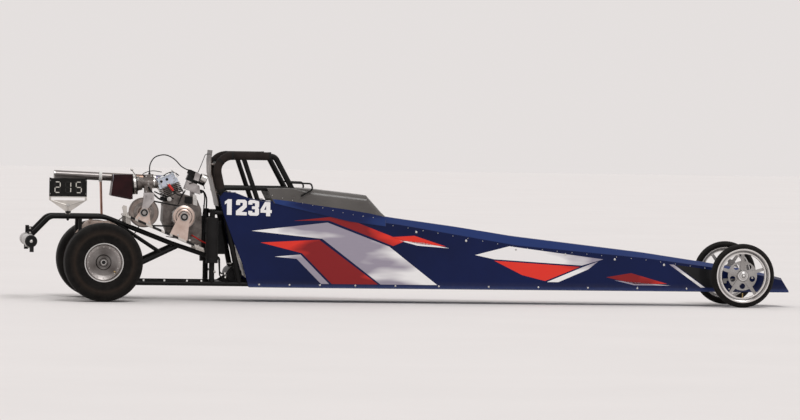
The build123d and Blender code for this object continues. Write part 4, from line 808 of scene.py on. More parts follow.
class DRAGCAR_OT_body_trim(bpy.types.Operator):
    """Rolled edges, rivets and quarter-turn fasteners of the body"""
    bl_idname = "dragcar.body_trim"
    bl_label = "Body trim"

    def execute(self, context):
        sizes = context.scene.drag_car_sizes
        self.edges()
        self.rivets(sizes.rivet_radius * 1000, sizes.rivet_pitch * 1000)
        self.fasteners(sizes.fastener_radius * 1000)
        return {"FINISHED"}

    def edges(self):
        rolled = Piece()
        for side, _ in SIDES:
            rolled.tube([(x, side * (body_half(x) + 1.2), BODY_LOW_Z + 3.5) for x in FOOT_STATIONS], 3.4, 8)
            rolled.tube([(x, side * (COCKPIT_HALF - 1.5), z) for x, z in COCKPIT_EDGE], 3.2, 8)
        rolled.make("rolled_edges", "chassis", "body_navy", "body_navy")

    def rivets(self, radius, pitch):
        """Rivets along the windscreen's foot, and ahead of it along the shoulder line."""
        rivets = Piece()
        for side, _ in SIDES:
            x = 1000.0
            while x < 1650:
                y = side * (body_half(x) + SCREEN_SKIN + 0.4)
                rivets.rivet((x, y, between(SCREEN_LINE, x) + 24), (0, side, 0), radius * 0.8)
                x += pitch
            x = 1720.0
            while x < 3950:
                z = between(SHOULDER_LINE, x) - 9
                rivets.rivet((x, side * body_half(x), z), (0, side, 0), radius * 0.85)
                x += pitch * 1.5
        rivets.make("body_rivets", "chassis", "bolt_steel", "plate_aluminium")

    def fasteners(self, radius):
        """Larger fasteners under the shoulder line and smaller ones along the foot."""
        fasteners = Piece()
        large = fastener_profile(radius, 1.2, radius - 0.9)
        small = fastener_profile(radius * 0.8, 1.1, radius * 0.8 - 0.8)
        for side, _ in SIDES:
            for x in SHOULDER_FASTENERS:
                z = between(SHOULDER_LINE, x) - 24
                fasteners.turned((x, side * body_half(x), z), (0, side, 0), large, 16)
            for x in FOOT_FASTENERS:
                fasteners.turned((x, side * body_half(x), BODY_LOW_Z + 17), (0, side, 0), small, 16)
        fasteners.make("body_fasteners", "chassis", "bolt_steel", "plate_aluminium")


# Finish and outline of each streak, x and z, along both sides
STREAKS = (
    ("wrap_silver", ((880, 420), (1330, 474), (1700, 336), (1990, 112), (1650, 112), (1300, 378))),
    ("wrap_red", ((1130, 482), (1405, 514), (1790, 368), (1722, 340), (1338, 486))),
    ("wrap_red", ((935, 352), (1282, 372), (1636, 112), (1360, 112), (1180, 292))),
    ("wrap_silver", ((1020, 270), (1172, 284), (1344, 112), (1296, 112), (1150, 258))),
    ("wrap_red", ((1700, 392), (1850, 402), (2040, 340), (1880, 352))),
    ("wrap_silver", ((1760, 372), (1868, 344), (2060, 330), (1900, 362))),
    ("wrap_silver", ((2215, 292), (2420, 346), (2990, 274), (2860, 236), (2330, 268))),
    ("wrap_red", ((2330, 260), (2850, 228), (2640, 142), (2500, 176))),
    ("wrap_silver", ((2650, 136), (2860, 224), (2960, 262), (2900, 214), (2720, 136))),
    ("wrap_red", ((3010, 168), (3160, 194), (3380, 132), (3190, 128))),
    ("wrap_silver", ((3060, 150), (3180, 122), (3400, 122), (3200, 138))),
    ("wrap_black", ((3430, 246), (3700, 212), (3700, 112), (3620, 112))),
    ("wrap_silver", ((3392, 248), (3422, 246), (3612, 112), (3586, 112))),
)

# Outlines of the race numerals on a cell ten wide and sixteen high
NUMERALS = (
    (((3, 0), (7.4, 0), (7.4, 16), (4, 16), (1, 13.4), (1, 10.6), (3, 12)),),
    (((0, 0), (10, 0), (10, 3.4), (5.2, 3.4), (10, 8.6), (10, 14.4), (8.4, 16), (1.6, 16), (0, 14.4),
      (0, 10.4), (3.8, 10.4), (3.8, 12.8), (6.2, 12.8), (6.2, 10.2), (0, 4.2)),),
    (((1.6, 0), (8.4, 0), (10, 1.6), (10, 7), (9, 8.1), (10, 9.2), (10, 14.4), (8.4, 16), (1.6, 16),
      (0, 14.4), (0, 11.2), (3.8, 11.2), (3.8, 12.8), (6.2, 12.8), (6.2, 9.6), (3.4, 9.6), (3.4, 6.7),
      (6.2, 6.7), (6.2, 3.2), (3.8, 3.2), (3.8, 4.8), (0, 4.8), (0, 1.6)),),
    (((0, 3.4), (5.2, 3.4), (5.2, 6.4), (3.3, 6.4), (5.2, 10.6), (5.2, 16), (4.8, 16), (0, 6.8)),
     ((5.2, 0), (9, 0), (9, 3.4), (10.4, 3.4), (10.4, 6.4), (9, 6.4), (9, 16), (5.2, 16))),
)


class DRAGCAR_OT_livery(bpy.types.Operator):
    """Plain tapered streaks, race numerals and the windscreen's lower band on both sides"""
    bl_idname = "dragcar.livery"
    bl_label = "Livery"

    def execute(self, context):
        sizes = context.scene.drag_car_sizes
        lift = sizes.film_lift * 1000
        for side, word in SIDES:
            for number, (film, outline) in enumerate(STREAKS, 1):
                self.film(f"streak_{word}_{number}", [outline], side, film, lift)
            self.numerals(word, side, sizes.numeral_width * 1000 / 4, sizes.numeral_height * 1000, lift)
            self.skirt(word, side, lift)
        return {"FINISHED"}

    def film(self, name, outlines, side, film, lift, gap=0.1):
        """Thin film on the side sheet, folded where the body starts to taper."""
        shape = bmesh.new()
        for outline in outlines:
            shape.faces.new([shape.verts.new((x, 0, z)) for x, z in outline])
        everything = shape.verts[:] + shape.edges[:] + shape.faces[:]
        bmesh.ops.bisect_plane(shape, geom=everything, plane_co=(TAPER_X, 0, 0), plane_no=(1, 0, 0))
        for v in shape.verts:
            v.co = at(v.co.x, side * (body_half(v.co.x) + gap), v.co.z)
        raised = bmesh.ops.extrude_face_region(shape, geom=shape.faces[:])["geom"]
        for v in (g for g in raised if isinstance(g, bmesh.types.BMVert)):
            v.co.y += side * lift / 1000
        bmesh.ops.recalc_face_normals(shape, faces=shape.faces)
        mesh = bpy.data.meshes.new(name)
        shape.to_mesh(mesh)
        shape.free()
        place_mesh(name, mesh, "chassis", film)

    def numerals(self, word, side, wide, tall, lift):
        """Four plain block numerals behind the cockpit's edge, the left ones turned to read from there."""
        for place, figure in enumerate(NUMERALS):
            outlines = []
            for outline in figure:
                spots = [((place + 0.06 + 0.088 * u) * wide, v / 16 * tall) for u, v in outline]
                outlines.append([(NUMERAL_X + (x if side < 0 else 4 * wide - x + 16),
                                  NUMERAL_Z + z - x * 0.022) for x, z in spots])
            self.film(f"numeral_{place + 1}_{word}", outlines, side, "wrap_white", lift)

    def skirt(self, word, side, lift):
        """Body-coloured lower band of the windscreen, over its outside, in painted light: the lighter lit
        tone of the sloped shoulder under the screen.
        """
        top = ((1001, 608), (1122, 595), (1252, 576), (1439, 553), (1583, 530), (1675, 510))
        low = [(x, between(SHOULDER_LINE, x) - 18.3) for x in (1675, 1460, 1250)] + [(1018, 582.6)]
        self.film(f"screen_skirt_{word}", [[*top, *low]], side, "lit_shoulder_navy", lift, SCREEN_SKIN)


# Wheels


class DRAGCAR_OT_wheel_fittings(bpy.types.Operator):
    """Wheel nuts, axle ends, rim lips, hub caps and valves of the four wheels"""
    bl_idname = "dragcar.wheel_fittings"
    bl_label = "Wheel fittings"

    def execute(self, context):
        for side, word in SIDES:
            self.rear(side, word)
            self.front(side, word)
        return {"FINISHED"}

    def rear(self, side, word):
        out = Vector((0, side, 0))
        centre = Vector((0, side * (REAR_WHEEL_Y + 38), REAR_AXLE_Z))
        nuts = Piece()
        for way in circle(AHEAD, UP, 16):
            nuts.bolt(centre + way * 92 + out * 3, out, 6, 4)
        nuts.turned(centre + out * 10, out, [(-2, 17.5), (2.5, 17), (3, 12), (-2, 12)], 28, True)
        end = Piece()
        end.turned(centre + out * 10, out, [(-1, 12), (1.0, 12), (0.2, 5), (0.2, 0.1)], 24)
        end.turned(centre + out * 3, out, [(-3, 36), (0.6, 36), (0.6, 33), (-3, 33)], 48, True)
        end.make(f"rear_axle_end_{word}", "rear_axle", "black_steel", "steel")
        nuts.make(f"rear_wheel_nuts_{word}", "rear_axle", "bolt_steel", "polished_aluminium")
        lip = Piece()
        lip.turned((0, side * (REAR_WHEEL_Y + 88), REAR_AXLE_Z), out,
                   [(-1, 113.9), (1.6, 113.9), (1.6, 108), (-1, 107)], 72, True)
        lip.make(f"rear_wheel_lip_{word}", "rear_axle", "polished_aluminium", "polished_aluminium")
        valve = Piece()
        way = circle(AHEAD, UP, 1, -40)[0]
        valve.turned(centre + way * 86 + out * 6, out - way * 0.2,
                     [(0, 5), (4, 5), (5, 3.4), (24, 3.2), (24, 4), (32, 4), (33, 3)], 10)
        valve.make(f"rear_valve_{word}", "rear_axle", "brass", "polished_aluminium")

    def front(self, side, word):
        body = f"front_wheel_{word}"
        out = Vector((0, side, 0))
        centre = Vector((WHEELBASE, side * FRONT_WHEEL_Y, FRONT_AXLE_Z))
        cap = Piece()
        cap.turned(centre, out, [(12, 34.2), (15, 34.4), (20, 30), (20, 27)], 32)
        cap.turned(centre, out, [(18, 22), (26, 20.5), (30, 14), (33, 11), (40, 9), (43, 5), (44, 0.5)], 28)
        for way in circle(AHEAD, UP, 5, 36):
            cap.bolt(centre + way * 25 + out * 15, out, 6.5, 4)
        cap.make(f"front_hub_cap_{word}", body, "polished_aluminium", "polished_aluminium")
        lip = Piece()
        lip.turned(centre, out, [(27, 160.9), (30.4, 160.6), (31.5, 157.5), (30.4, 152.6), (27, 152.2)], 96,
                   True)
        lip.turned(centre, out, [(29.6, 137.6), (30.7, 136.6), (30.7, 131.6), (29.6, 130.6)], 96, True)
        lip.make(f"front_wheel_lip_{word}", body, "bright_rim", "polished_aluminium")
        valve = Piece()
        valve.turned(centre - UP * 129 + out * 2, (0, side * 0.5, 1),
                     [(-6, 4.4), (0, 4.2), (1, 2.8), (18, 2.6), (18, 3.4), (25, 3.4), (26, 2.4)], 10)
        valve.make(f"front_valve_{word}", body, "brass", "polished_aluminium")


# Drive


def arc(centre, radius, first, sweep, count):
    """Points along an arc of x and z."""
    turns = [first + sweep * k / (count - 1) for k in range(count)]
    return [(centre[0] + radius * math.cos(turn), centre[1] + radius * math.sin(turn)) for turn in turns]


def loop_points(a, ra, b, rb, count):
    """Evenly spaced points on a band round two wheels given as x and z, and the band's length."""
    dx, dz = b[0] - a[0], b[1] - a[1]
    gap, base = math.hypot(dx, dz), math.atan2(dz, dx)
    lean = math.acos((ra - rb) / gap)
    fine = arc(a, ra, base + lean, 2 * math.pi - 2 * lean, 200) + arc(b, rb, base - lean, 2 * lean, 80)
    fine.append(fine[0])
    reach = [0.0]
    for (x0, z0), (x1, z1) in zip(fine, fine[1:]):
        reach.append(reach[-1] + math.hypot(x1 - x0, z1 - z0))
    found, k = [], 0
    for n in range(count):
        goal = reach[-1] * n / count
        while reach[k + 1] < goal:
            k += 1
        (x0, z0), (x1, z1) = fine[k], fine[k + 1]
        share = (goal - reach[k]) / (reach[k + 1] - reach[k])
        found.append((x0 + (x1 - x0) * share, z0 + (z1 - z0) * share))
    return found, reach[-1]


def link_outline(half):
    """Waisted outline of a chain link's plate, from half the distance between its rollers."""
    ahead = [(half * 0.4, 2.9), (half + 1.8, 3.6), (half + 3.4, 0)]
    top = [(-u, v) for u, v in reversed(ahead)] + ahead
    return top + [(u, -v) for u, v in reversed(top[1:-1])]


class DRAGCAR_OT_drive(bpy.types.Operator):
    """Roller chain, toothed chain wheel with its hub, pulley cones, rings, bolts and bearing caps"""
    bl_idname = "dragcar.drive"
    bl_label = "Belt and chain drive"

    def execute(self, context):
        self.chain(context.scene.drag_car_sizes.chain_pitch * 1000)
        self.chain_wheel()
        self.pulleys()
        return {"FINISHED"}

    def chain(self, pitch):
        """Inner and outer links in turn, with their rollers and pins."""
        loop = ((0, REAR_AXLE_Z), CHAIN_WHEEL_RADIUS, JACKSHAFT, CHAIN_PINION_RADIUS)
        count = 2 * round(loop_points(*loop, 8)[1] / pitch / 2)
        points = loop_points(*loop, count)[0]
        links = Piece()
        for k, (x0, z0) in enumerate(points):
            x1, z1 = points[(k + 1) % count]
            along = Vector((x1 - x0, 0, z1 - z0)).normalized()
            across = Vector((-along.z, 0, along.x))
            middle = Vector(((x0 + x1) / 2, CHAIN_Y, (z0 + z1) / 2))
            outline = [along * u + across * v for u, v in link_outline(math.hypot(x1 - x0, z1 - z0) / 2)]
            faces = (3.0, 4.1) if k % 2 else (4.3, 5.4)
            for side, _ in SIDES:
                links.loft([[middle + spot + LEFT * side * y for spot in outline] for y in faces])
            links.turned((x0, CHAIN_Y, z0), LEFT,
                         [(-5.9, 1.6), (-3, 1.7), (-3, 2.6), (3, 2.6), (3, 1.7), (5.9, 1.6)], 8)
        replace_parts(links.make("roller_chain", "chassis", "steel", "steel"), "drive_chain")

    def chain_wheel(self):
        """Toothed wheel with six windows and a bolted hub."""
        teeth, windows, spoke_share = 68, 6, 0.24
        tooth = (98.6, 101.2, 103.9, 101.2)
        step = teeth * len(tooth)
        reach = [[44.0] * step, [54.0] * step, [86.0] * step, [*tooth] * teeth]

        def left_open(ring, k):
            return ring == 1 and (k * windows / step) % 1 > spoke_share

        wheel = Piece()
        slotted_disc(wheel, (0, REAR_AXLE_Z), (101.4, 106.6), reach, left_open)
        made = wheel.make("chain_wheel", "rear_axle", "plate_aluminium", "plate_aluminium")
        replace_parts(made, "sprocket")
        hub = Piece()
        hub.turned((0, CHAIN_Y, REAR_AXLE_Z), LEFT, [(-24, 16.2), (-24, 32), (-6, 32), (-4, 46), (3.0, 46),
                                                     (3.0, 30), (3.0, 16.2)], 40, True)
        for way in circle(AHEAD, UP, 6):
            hub.bolt(Vector((0, 98, REAR_AXLE_Z)) + way * 38, RIGHT, 8, 5)
        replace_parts(hub.make("chain_wheel_hub", "rear_axle", "steel", "steel"), "sprocket")

    def pulleys(self):
        """Cones, rings and bolts on the outer faces, and bearing rings and caps on the supports."""
        bolts, caps, rings, cones, hubs = Piece(), Piece(), Piece(), Piece(), Piece()
        for (x, z), reach, face in ((CRANK, 34, -170), (JACKSHAFT, 44, -169)):
            for way in circle(AHEAD, UP, 6, 12):
                bolts.bolt(Vector((x, face, z)) + way * reach, RIGHT, 6, 3)
            support = (x, SUPPORT_FACE_Y, z)
            rings.turned(support, RIGHT, [(-1, 25), (1.2, 24.5), (1.2, 21), (-1, 21)], 36, True)
            caps.turned(support, RIGHT, [(-1, 21), (0.8, 21), (0.8, 12), (-1, 12)], 36, True)
            rings.turned(support, RIGHT, [(-1, 12), (1.6, 11), (1.6, 5), (0.4, 4)], 24)
        front = (CRANK[0], PULLEY_FACE_Y, CRANK[1])
        rear = (JACKSHAFT[0], PULLEY_FACE_Y + 1, JACKSHAFT[1])
        cones.turned(front, RIGHT, [(0, 66), (3, 65), (9, 54), (9, 50), (0, 50)], 72, True)
        cones.turned(front, RIGHT, [(0, 47), (7, 46), (11, 39), (11, 36), (0, 36)], 72, True)
        hubs.turned(rear, RIGHT, [(0, 86.5), (2, 86), (2, 82), (0, 81)], 72, True)
        hubs.turned(rear, RIGHT, [(0, 62), (5, 60), (8, 50), (8, 44), (0, 44)], 72, True)
        hubs.turned(front, RIGHT, [(0, 49.5), (2, 49.5), (2, 47.5), (0, 47.5)], 72, True)
        cones.make("pulley_cones", "chassis", "support_tan", "steel")
        hubs.make("pulley_hub_rings", "chassis", "cast_alloy", "steel")
        bolts.make("pulley_bolts", "chassis", "bolt_steel", "steel")
        rings.make("bearing_rings", "chassis", "steel", "steel")
        caps.make("bearing_caps", "chassis", "black_steel", "steel")


def slotted_disc(piece, centre, faces, reach, left_open):
    """Flat disc between two y values from rings of radii, with some of its cells left open."""
    step, start = len(reach[0]), len(piece.points)
    ways = circle(AHEAD, UP, step)
    middles = [Vector((centre[0], y, centre[1])) for y in faces]
    piece.add([middle + way * radius for middle in middles for ring in reach
               for way, radius in zip(ways, ring)], [])

    def spot(side, ring, k):
        return start + (side * len(reach) + ring) * step + k % step

    def filled(ring, k):
        return 0 <= ring < len(reach) - 1 and not left_open(ring, k % step)

    for ring in range(len(reach) - 1):
        for k in range(step):
            if not filled(ring, k):
                continue
            corners = ((ring, k), (ring, k + 1), (ring + 1, k + 1), (ring + 1, k))
            piece.faces += [[spot(side, *corner) for corner in corners] for side in (0, 1)]
            walls = (((ring + 1, k), (ring + 1, k), (ring + 1, k + 1)),
                     ((ring - 1, k), (ring, k), (ring, k + 1)),
                     ((ring, k + 1), (ring, k + 1), (ring + 1, k + 1)),
                     ((ring, k - 1), (ring, k), (ring + 1, k)))
            for other, a, b in walls:
                if not filled(*other):
                    piece.faces.append([spot(0, *a), spot(0, *b), spot(1, *b), spot(1, *a)])


# Engine

PLUG_START = Vector((398, -67, 686))
PLUG_AIM = Vector((436, -90, 636))
THROTTLE_BALL = (183, -62, 768)
EXHAUST_AXIS = (1, 0, -0.036)
PLATE_NORMAL = (0.38, 0, 0.92)
LEAN_ACROSS = (0.94, 0, -0.34)
LEAN_UP = (0.34, 0, 0.94)


def lean_spot(distance, across, y):
    """Point by its distance from the crank along the leaning cylinder, and across it."""
    along, sideways = circle(UP, -AHEAD, 1, CYLINDER_LEAN)[0], circle(AHEAD, UP, 1, CYLINDER_LEAN)[0]
    return Vector((CRANK[0], y, CRANK[1])) + along * distance + sideways * across


class DRAGCAR_OT_engine(bpy.types.Operator):
    """Head cover, plug, carburettor fittings, case bolts, clamps and ties"""
    bl_idname = "dragcar.engine"
    bl_label = "Engine fittings"

    def execute(self, context):
        self.head()
        self.plug()
        self.intake()
        self.air_box()
        self.case()
        self.plate()
        self.stay_and_coil()
        self.clutter()
        self.boxes()
        self.exhaust()
        self.lines()
        return {"FINISHED"}

    def head(self):
        """Side cover in two steps, the ribs on top and the bolts of both."""
        cover, bolts, ribs = Piece(), Piece(), Piece()
        low, high = 204, 254
        corners = [(low, -46), (low, 30), (low + 14, 48), (high - 10, 48), (high, 34), (high, -34),
                   (high - 12, -47)]
        middle = lean_spot((low + high) / 2, 0, 0)
        for levels in (((-60.2, 1.0), (-65.5, 1.0)), ((-65.5, 0.97), (-67.5, 0.93))):
            cover.loft([[middle + (lean_spot(d, a, 0) - middle) * share + LEFT * y for d, a in corners]
                        for y, share in levels])
        cover.make("head_side_cover", "chassis", "polished_blue", "polished_aluminium", 0.8)
        for d, a in ((210, -36), (212, 34), (244, 36), (246, -30), (228, -40), (228, 40)):
            bolts.bolt(lean_spot(d, a, -67), RIGHT, 6, 4)
        for a in (-34, 34):
            for y in (-40, 40):
                bolts.bolt(lean_spot(260, a, y), circle(UP, -AHEAD, 1, CYLINDER_LEAN)[0], 8, 5)
        for a in (-40, 0, 40):
            bolts.bolt(lean_spot(150, a, -64), RIGHT, 5, 3)
        for y in (-30, -15, 0, 15, 30):
            ribs.tube([lean_spot(260.2, -38, y), lean_spot(260.2, 38, y)], 1.6, 8)
        ribs.make("head_cover_ribs", "chassis", "polished_aluminium", "polished_aluminium")
        bolts.make("head_bolts", "chassis", "bolt_steel", "steel")

    def plug(self):
        """Plug in the head's side, its red boot and the lead to the box."""
        boot, lead, plug = Piece(), Piece(), Piece()
        run = (PLUG_AIM - PLUG_START).normalized()
        plug.turned(PLUG_START, run, [(-4, 10), (3, 10), (3, 7), (12, 6)], 6)
        boot.turned(PLUG_START + run * 6, run, [(0, 8.5), (4, 9.5), (9, 9.5), (13, 8), (24, 8),
                                                (26, 9.2), (30, 9.2), (32, 7.5), (44, 7), (48, 5)], 20)
        end = PLUG_START + run * 52
        lead.tube(bend([end, end + run * 14, (462, -99, 622), (486, -99, 630), (498, -97, 650)]), 3.6, 10)
        plug.make("plug_hex", "chassis", "bolt_steel", "steel")
        boot.make("plug_boot", "chassis", "plug_red", "red_cable")
        lead.make("plug_lead", "chassis", "hose_rubber", "hose_rubber")

    def intake(self):
        """Carburettor rings, riveted band, lever with its ball, and clamps."""
        ring, bell, lever, clamp = Piece(), Piece(), Piece(), Piece()
        axis = (-26, 0, -2)
        for x in (214, 192):
            ring.band((x, -20, 682), axis, 3, 56, 60.5, 48)
        bell.band(CARBURETTOR, axis, 6.5, 58, 59.4, 48)
        for way in circle(LEFT, UP, 10):
            bell.rivet(CARBURETTOR + way * 59.3, way, 3.2)
        lever.tube([(217, -56, 712), (210, -62, 728), (184, -62, 766)], 3.2, 10)
        lever.turned(THROTTLE_BALL, UP,
                     [(-8, 1), (-6.5, 5), (-3, 7.6), (0, 8.4), (3, 7.6), (6.5, 5), (8, 1)], 18)
        lever.turned((217, -46, 710), RIGHT, [(0, 9), (14, 9), (16, 7)], 18)
        for x in (318, 344):
            clamp.band((x, -20, 690), AHEAD, 4, 31.2, 33, 36)
            clamp.block((x, -20, 724), (9, 12, 6))
            clamp.bolt((x, -27, 724), RIGHT, 5, 3)
        for x, z in ((271, 640), (299, 640), (270, 730), (299, 731)):
            clamp.bolt((x, -48, z), RIGHT, 6, 4)
        for z in (700, 684, 668):
            clamp.turned((284, -48, z), RIGHT, [(0, 5), (3, 5), (3, 3.4), (1, 3)], 14)
        ring.make("carburettor_rings", "chassis", "black_steel", "cast_alloy")
        bell.make("carburettor_band", "chassis", "bolt_steel", "cast_alloy")
        lever.make("throttle_lever", "chassis", "bolt_steel", "steel")
        clamp.make("carburettor_clamps", "chassis", "bolt_steel", "steel")

    def air_box(self):
        """Flange at the air box's rear edge, and the ridges and rivets of its lid."""
        flange, ridges = Piece(), Piece()
        flange.tube([(66, -147, 668), (73, -147, 737), (73, 27, 737), (66, 27, 668)], 2.8, 8)
        flange.make("air_box_flange", "chassis", "polished_blue", "maroon_gloss")
        lid = [(72, 740), (180, 741), (185, 597), (170, 593), (57, 614)]
        middle_x, middle_z = 128, 664
        for share in (0.96, 0.864):
            line = [(middle_x + (x - middle_x) * share, -149.4, middle_z + (z - middle_z) * share)
                    for x, z in lid]
            ridges.tube([*line, line[0]], 1.6, 6)
        for x, z in ((86, 718), (166, 720), (170, 614), (76, 628)):
            ridges.rivet((x, -150, z), RIGHT, 3.0)
        ridges.make("air_box_ridges", "chassis", "maroon_gloss", "maroon_gloss")

    def case(self):
        """Flank bolts, foot bolts and the cast ribs of the crankcase."""
        bolts, ribs = Piece(), Piece()
        for side, face, reach in ((-1, -96, 66), (1, 120, 86)):
            for way in circle(AHEAD, UP, 8, 22.5):
                bolts.bolt(Vector((CRANK[0], face, CRANK[1])) + way * reach, (0, side, 0), 7, 4)
        for lift, stations, sides in ((12, (416, 560), (-66, 80)), (0, (155, 290, 440, 575), (-176, 146))):
            for x in stations:
                for y in sides:
                    bolts.bolt((x, y, plate_z(x) + lift), PLATE_NORMAL, 10, 6)
        for x, reach in ((CRANK[0], 34), (JACKSHAFT[0], 30)):
            for foot in (x - reach, x + reach):
                bolts.bolt((foot, -197, plate_z(foot) + 12), RIGHT, 9, 5)
        for x0, z0, x1, z1 in ((596, 530, 572, 592), (598, 430, 597, 520), (368, 560, 440, 626),
                               (374, 480, 378, 560)):
            for y in (-60, -20, 20, 60):
                ribs.tube([(x0, y, z0), (x1, y, z1)], 3.0, 8)
        for z in (402, 384, 366):
            ribs.tube([(388, -77.5, z + 12), (590, -77.5, z - 26)], 2.4, 8)
        bolts.make("case_bolts", "chassis", "bolt_steel", "steel")
        ribs.make("case_ribs", "chassis", "cast_alloy", "cast_alloy")

    def plate(self):
        """Dark strips on the engine plate's top and edge: painted shade where its slots are."""
        slots = Piece()
        # Painted shade: thin dark strips laid on the plate stand in for the shade inside the slots
        for y in (-120, -150, 110, 140):
            for x0, x1 in ((200, 250), (330, 366)):
                slots.strap([(x0, y, plate_z(x0) + 0.4), (x1, y, plate_z(x1) + 0.4)], 14, 1.0, LEFT)
        for x0, x1 in ((170, 196), (214, 262), (300, 352), (372, 402), (418, 452), (500, 548)):
            edge = ((x0, 1), (x1, 1), (x1, -13), (x0, -13))
            slots.prism([(x, plate_z(x) + lift) for x, lift in edge], -206.4, -204.2)
        slots.make("plate_slot_shade", "chassis", "black_steel", "plate_aluminium")

    def clutter(self):
        """Lines, return springs and brackets between the carburettor and the case, and a dark plate on the
        engine's flank that is painted shade of a recess.
        """
        dark, bright = Piece(), Piece()
        routes = (
            (5, 10, [(284, -50, 668), (300, -66, 640), (340, -72, 602), (372, -82, 590), (392, -88, 600)]),
            (4, 10, [(318, -60, 640), (350, -76, 625), (392, -86, 612), (432, -88, 600)]),
            (2.4, 8, [(262, -52, 726), (250, -66, 744), (300, -72, 762), (360, -66, 756)]),
            (3, 8, [(470, -66, 668), (486, -86, 640), (470, -92, 600), (456, -97, 566)]),
            (2.6, 8, [(520, -98, 690), (560, -102, 700), (600, -100, 690), (612, -90, 660)]),
            (3.2, 10, [(372, -64, 733), (392, -67, 748), (428, -66, 757), (462, -62, 737)]),
        )
        for radius, steps, route in routes:
            dark.tube(bend(route), radius, steps)
        dark.block((372, -70, 598), (42, 16, 22), (0.9, 0, -0.2), (0.2, 0, 0.9))
        dark.block((520, -92, 760), (20, 14, 26), LEAN_ACROSS, LEAN_UP)
        dark.block((546, -93, 742), (22, 12, 14), LEAN_ACROSS, LEAN_UP)
        for x, z in ((358, 700), (391, 713)):
            dark.turned((x, -67.5, z), RIGHT, [(-2, 8), (2.5, 8), (3.5, 5), (1.5, 4)], 20)
        # Painted shade: a thin dark plate flush on the engine's flank stands in for the shade of a recess
        dark.prism([(496, 616), (541, 611), (538, 570), (494, 576)], -98.5, -95)
        self.spring(bright, Vector((217, -70, 712)), Vector((262, -70, 700)))
        self.spring(bright, Vector((330, -70, 660)), Vector((372, -70, 640)))
        bright.prism([(548, 566), (572, 560), (566, 620), (544, 628)], -82, -79)
        bright.bolt((558, -82, 606), RIGHT, 8, 5)
        bright.bolt((560, -82, 576), RIGHT, 8, 5)
        bright.turned((404, -98, 598), RIGHT, [(0, 13), (8, 13), (8, 9), (11, 8)], 20)
        bright.tube([(414, -72, 770), (440, -72, 752), (452, -72, 728)], 2.2, 8)
        dark.make("engine_lines", "chassis", "hose_rubber", "black_plastic")
        bright.make("engine_springs", "chassis", "bolt_steel", "steel")

    def spring(self, piece, start, end):
        """Coil of twelve turns from one point to another."""
        turns, steps, reach = 12, 8, 3.4
        ways = circle(LEFT, UP, steps)
        last = turns * steps
        piece.tube([start.lerp(end, k / last) + ways[k % steps] * reach for k in range(last + 1)], 0.7, 6)

    def stay_and_coil(self):
        """Stay under the carburettor, and the coil with its box."""
        stay, can, box = Piece(), Piece(), Piece()
        stay.prism([(245, 635), (308, 636), (309, 589), (268, 538), (234, 538), (245, 598)], -187, -182)
        stay.block((280, -130, 631), (40, 106, 6))
        stay.bolt((262, -187, 618), RIGHT, 8, 5)
        stay.bolt((292, -187, 606), RIGHT, 8, 5)
        stay.make("carburettor_stay", "chassis", "box_grey", "plate_aluminium", 0.8)
        can.turned((588, -115, 727), LEAN_ACROSS, [(0, 8), (0, 24), (3, 26), (33, 26), (36, 22), (36, 8)], 36)
        can.make("coil_can", "chassis", "bolt_steel", "steel")
        box.prism([(556, 757), (586, 747), (575, 704), (545, 714)], -113, -89.5)
        box.make("coil_box", "chassis", "box_grey", "black_plastic", 1.2)

    def boxes(self):
        """Straps, terminals and screws of the boxes, and the tank's bands and cap."""
        trim, straps = Piece(), Piece()
        for y in (-60, 60):
            straps.strap([(637, y, 300), (637, y, 452), (660, y, 471), (722, y, 471)], 26, 1.6, LEFT)
        for y in (-82, 82):
            trim.turned((690, y, 470), UP, [(-1, 7), (6, 7), (6, 4), (10, 3.6)], 16)
        for y, out in ((-96, RIGHT), (-10, LEFT)):
            for x, z in ((505, 660), (575, 636), (572, 676), (516, 700)):
                trim.rivet((x, y, z), out, 4.0)
        for side, _ in SIDES:
            hub, out = (790, side * 158, 162), (0, side, 0)
            straps.turned(hub, out, [(-1, 30), (1.2, 30), (1.2, 26), (-1, 25)], 32, True)
            straps.bolt(hub, out, 12, 6)
        trim.turned((780, 0, 223), UP, [(-6, 18.6), (-0.5, 18.6), (0, 16)], 20)
        trim.make("box_screws", "chassis", "bolt_steel", "steel")
        straps.make("battery_straps", "chassis", "grip_rubber", "black_plastic")

    def exhaust(self):
        """Clamp on the strut, ring at the joint and ring at the tip."""
        clamp, rings = Piece(), Piece()
        clamp.band((10, 112, 723), EXHAUST_AXIS, 9, 24.2, 32, 40)
        clamp.block((10, 112, 696), (20, 14, 10))
        clamp.bolt((10, 104, 696), RIGHT, 8, 5)
        clamp.make("exhaust_clamp", "chassis", "clip_white", "steel")
        rings.band((-262, 112, 733), EXHAUST_AXIS, 2.5, 22.4, 25.6, 40)
        rings.band((330, 112, 712), EXHAUST_AXIS, 7, 24.1, 26.4, 40)
        rings.make("exhaust_rings", "chassis", "bolt_steel", "steel")

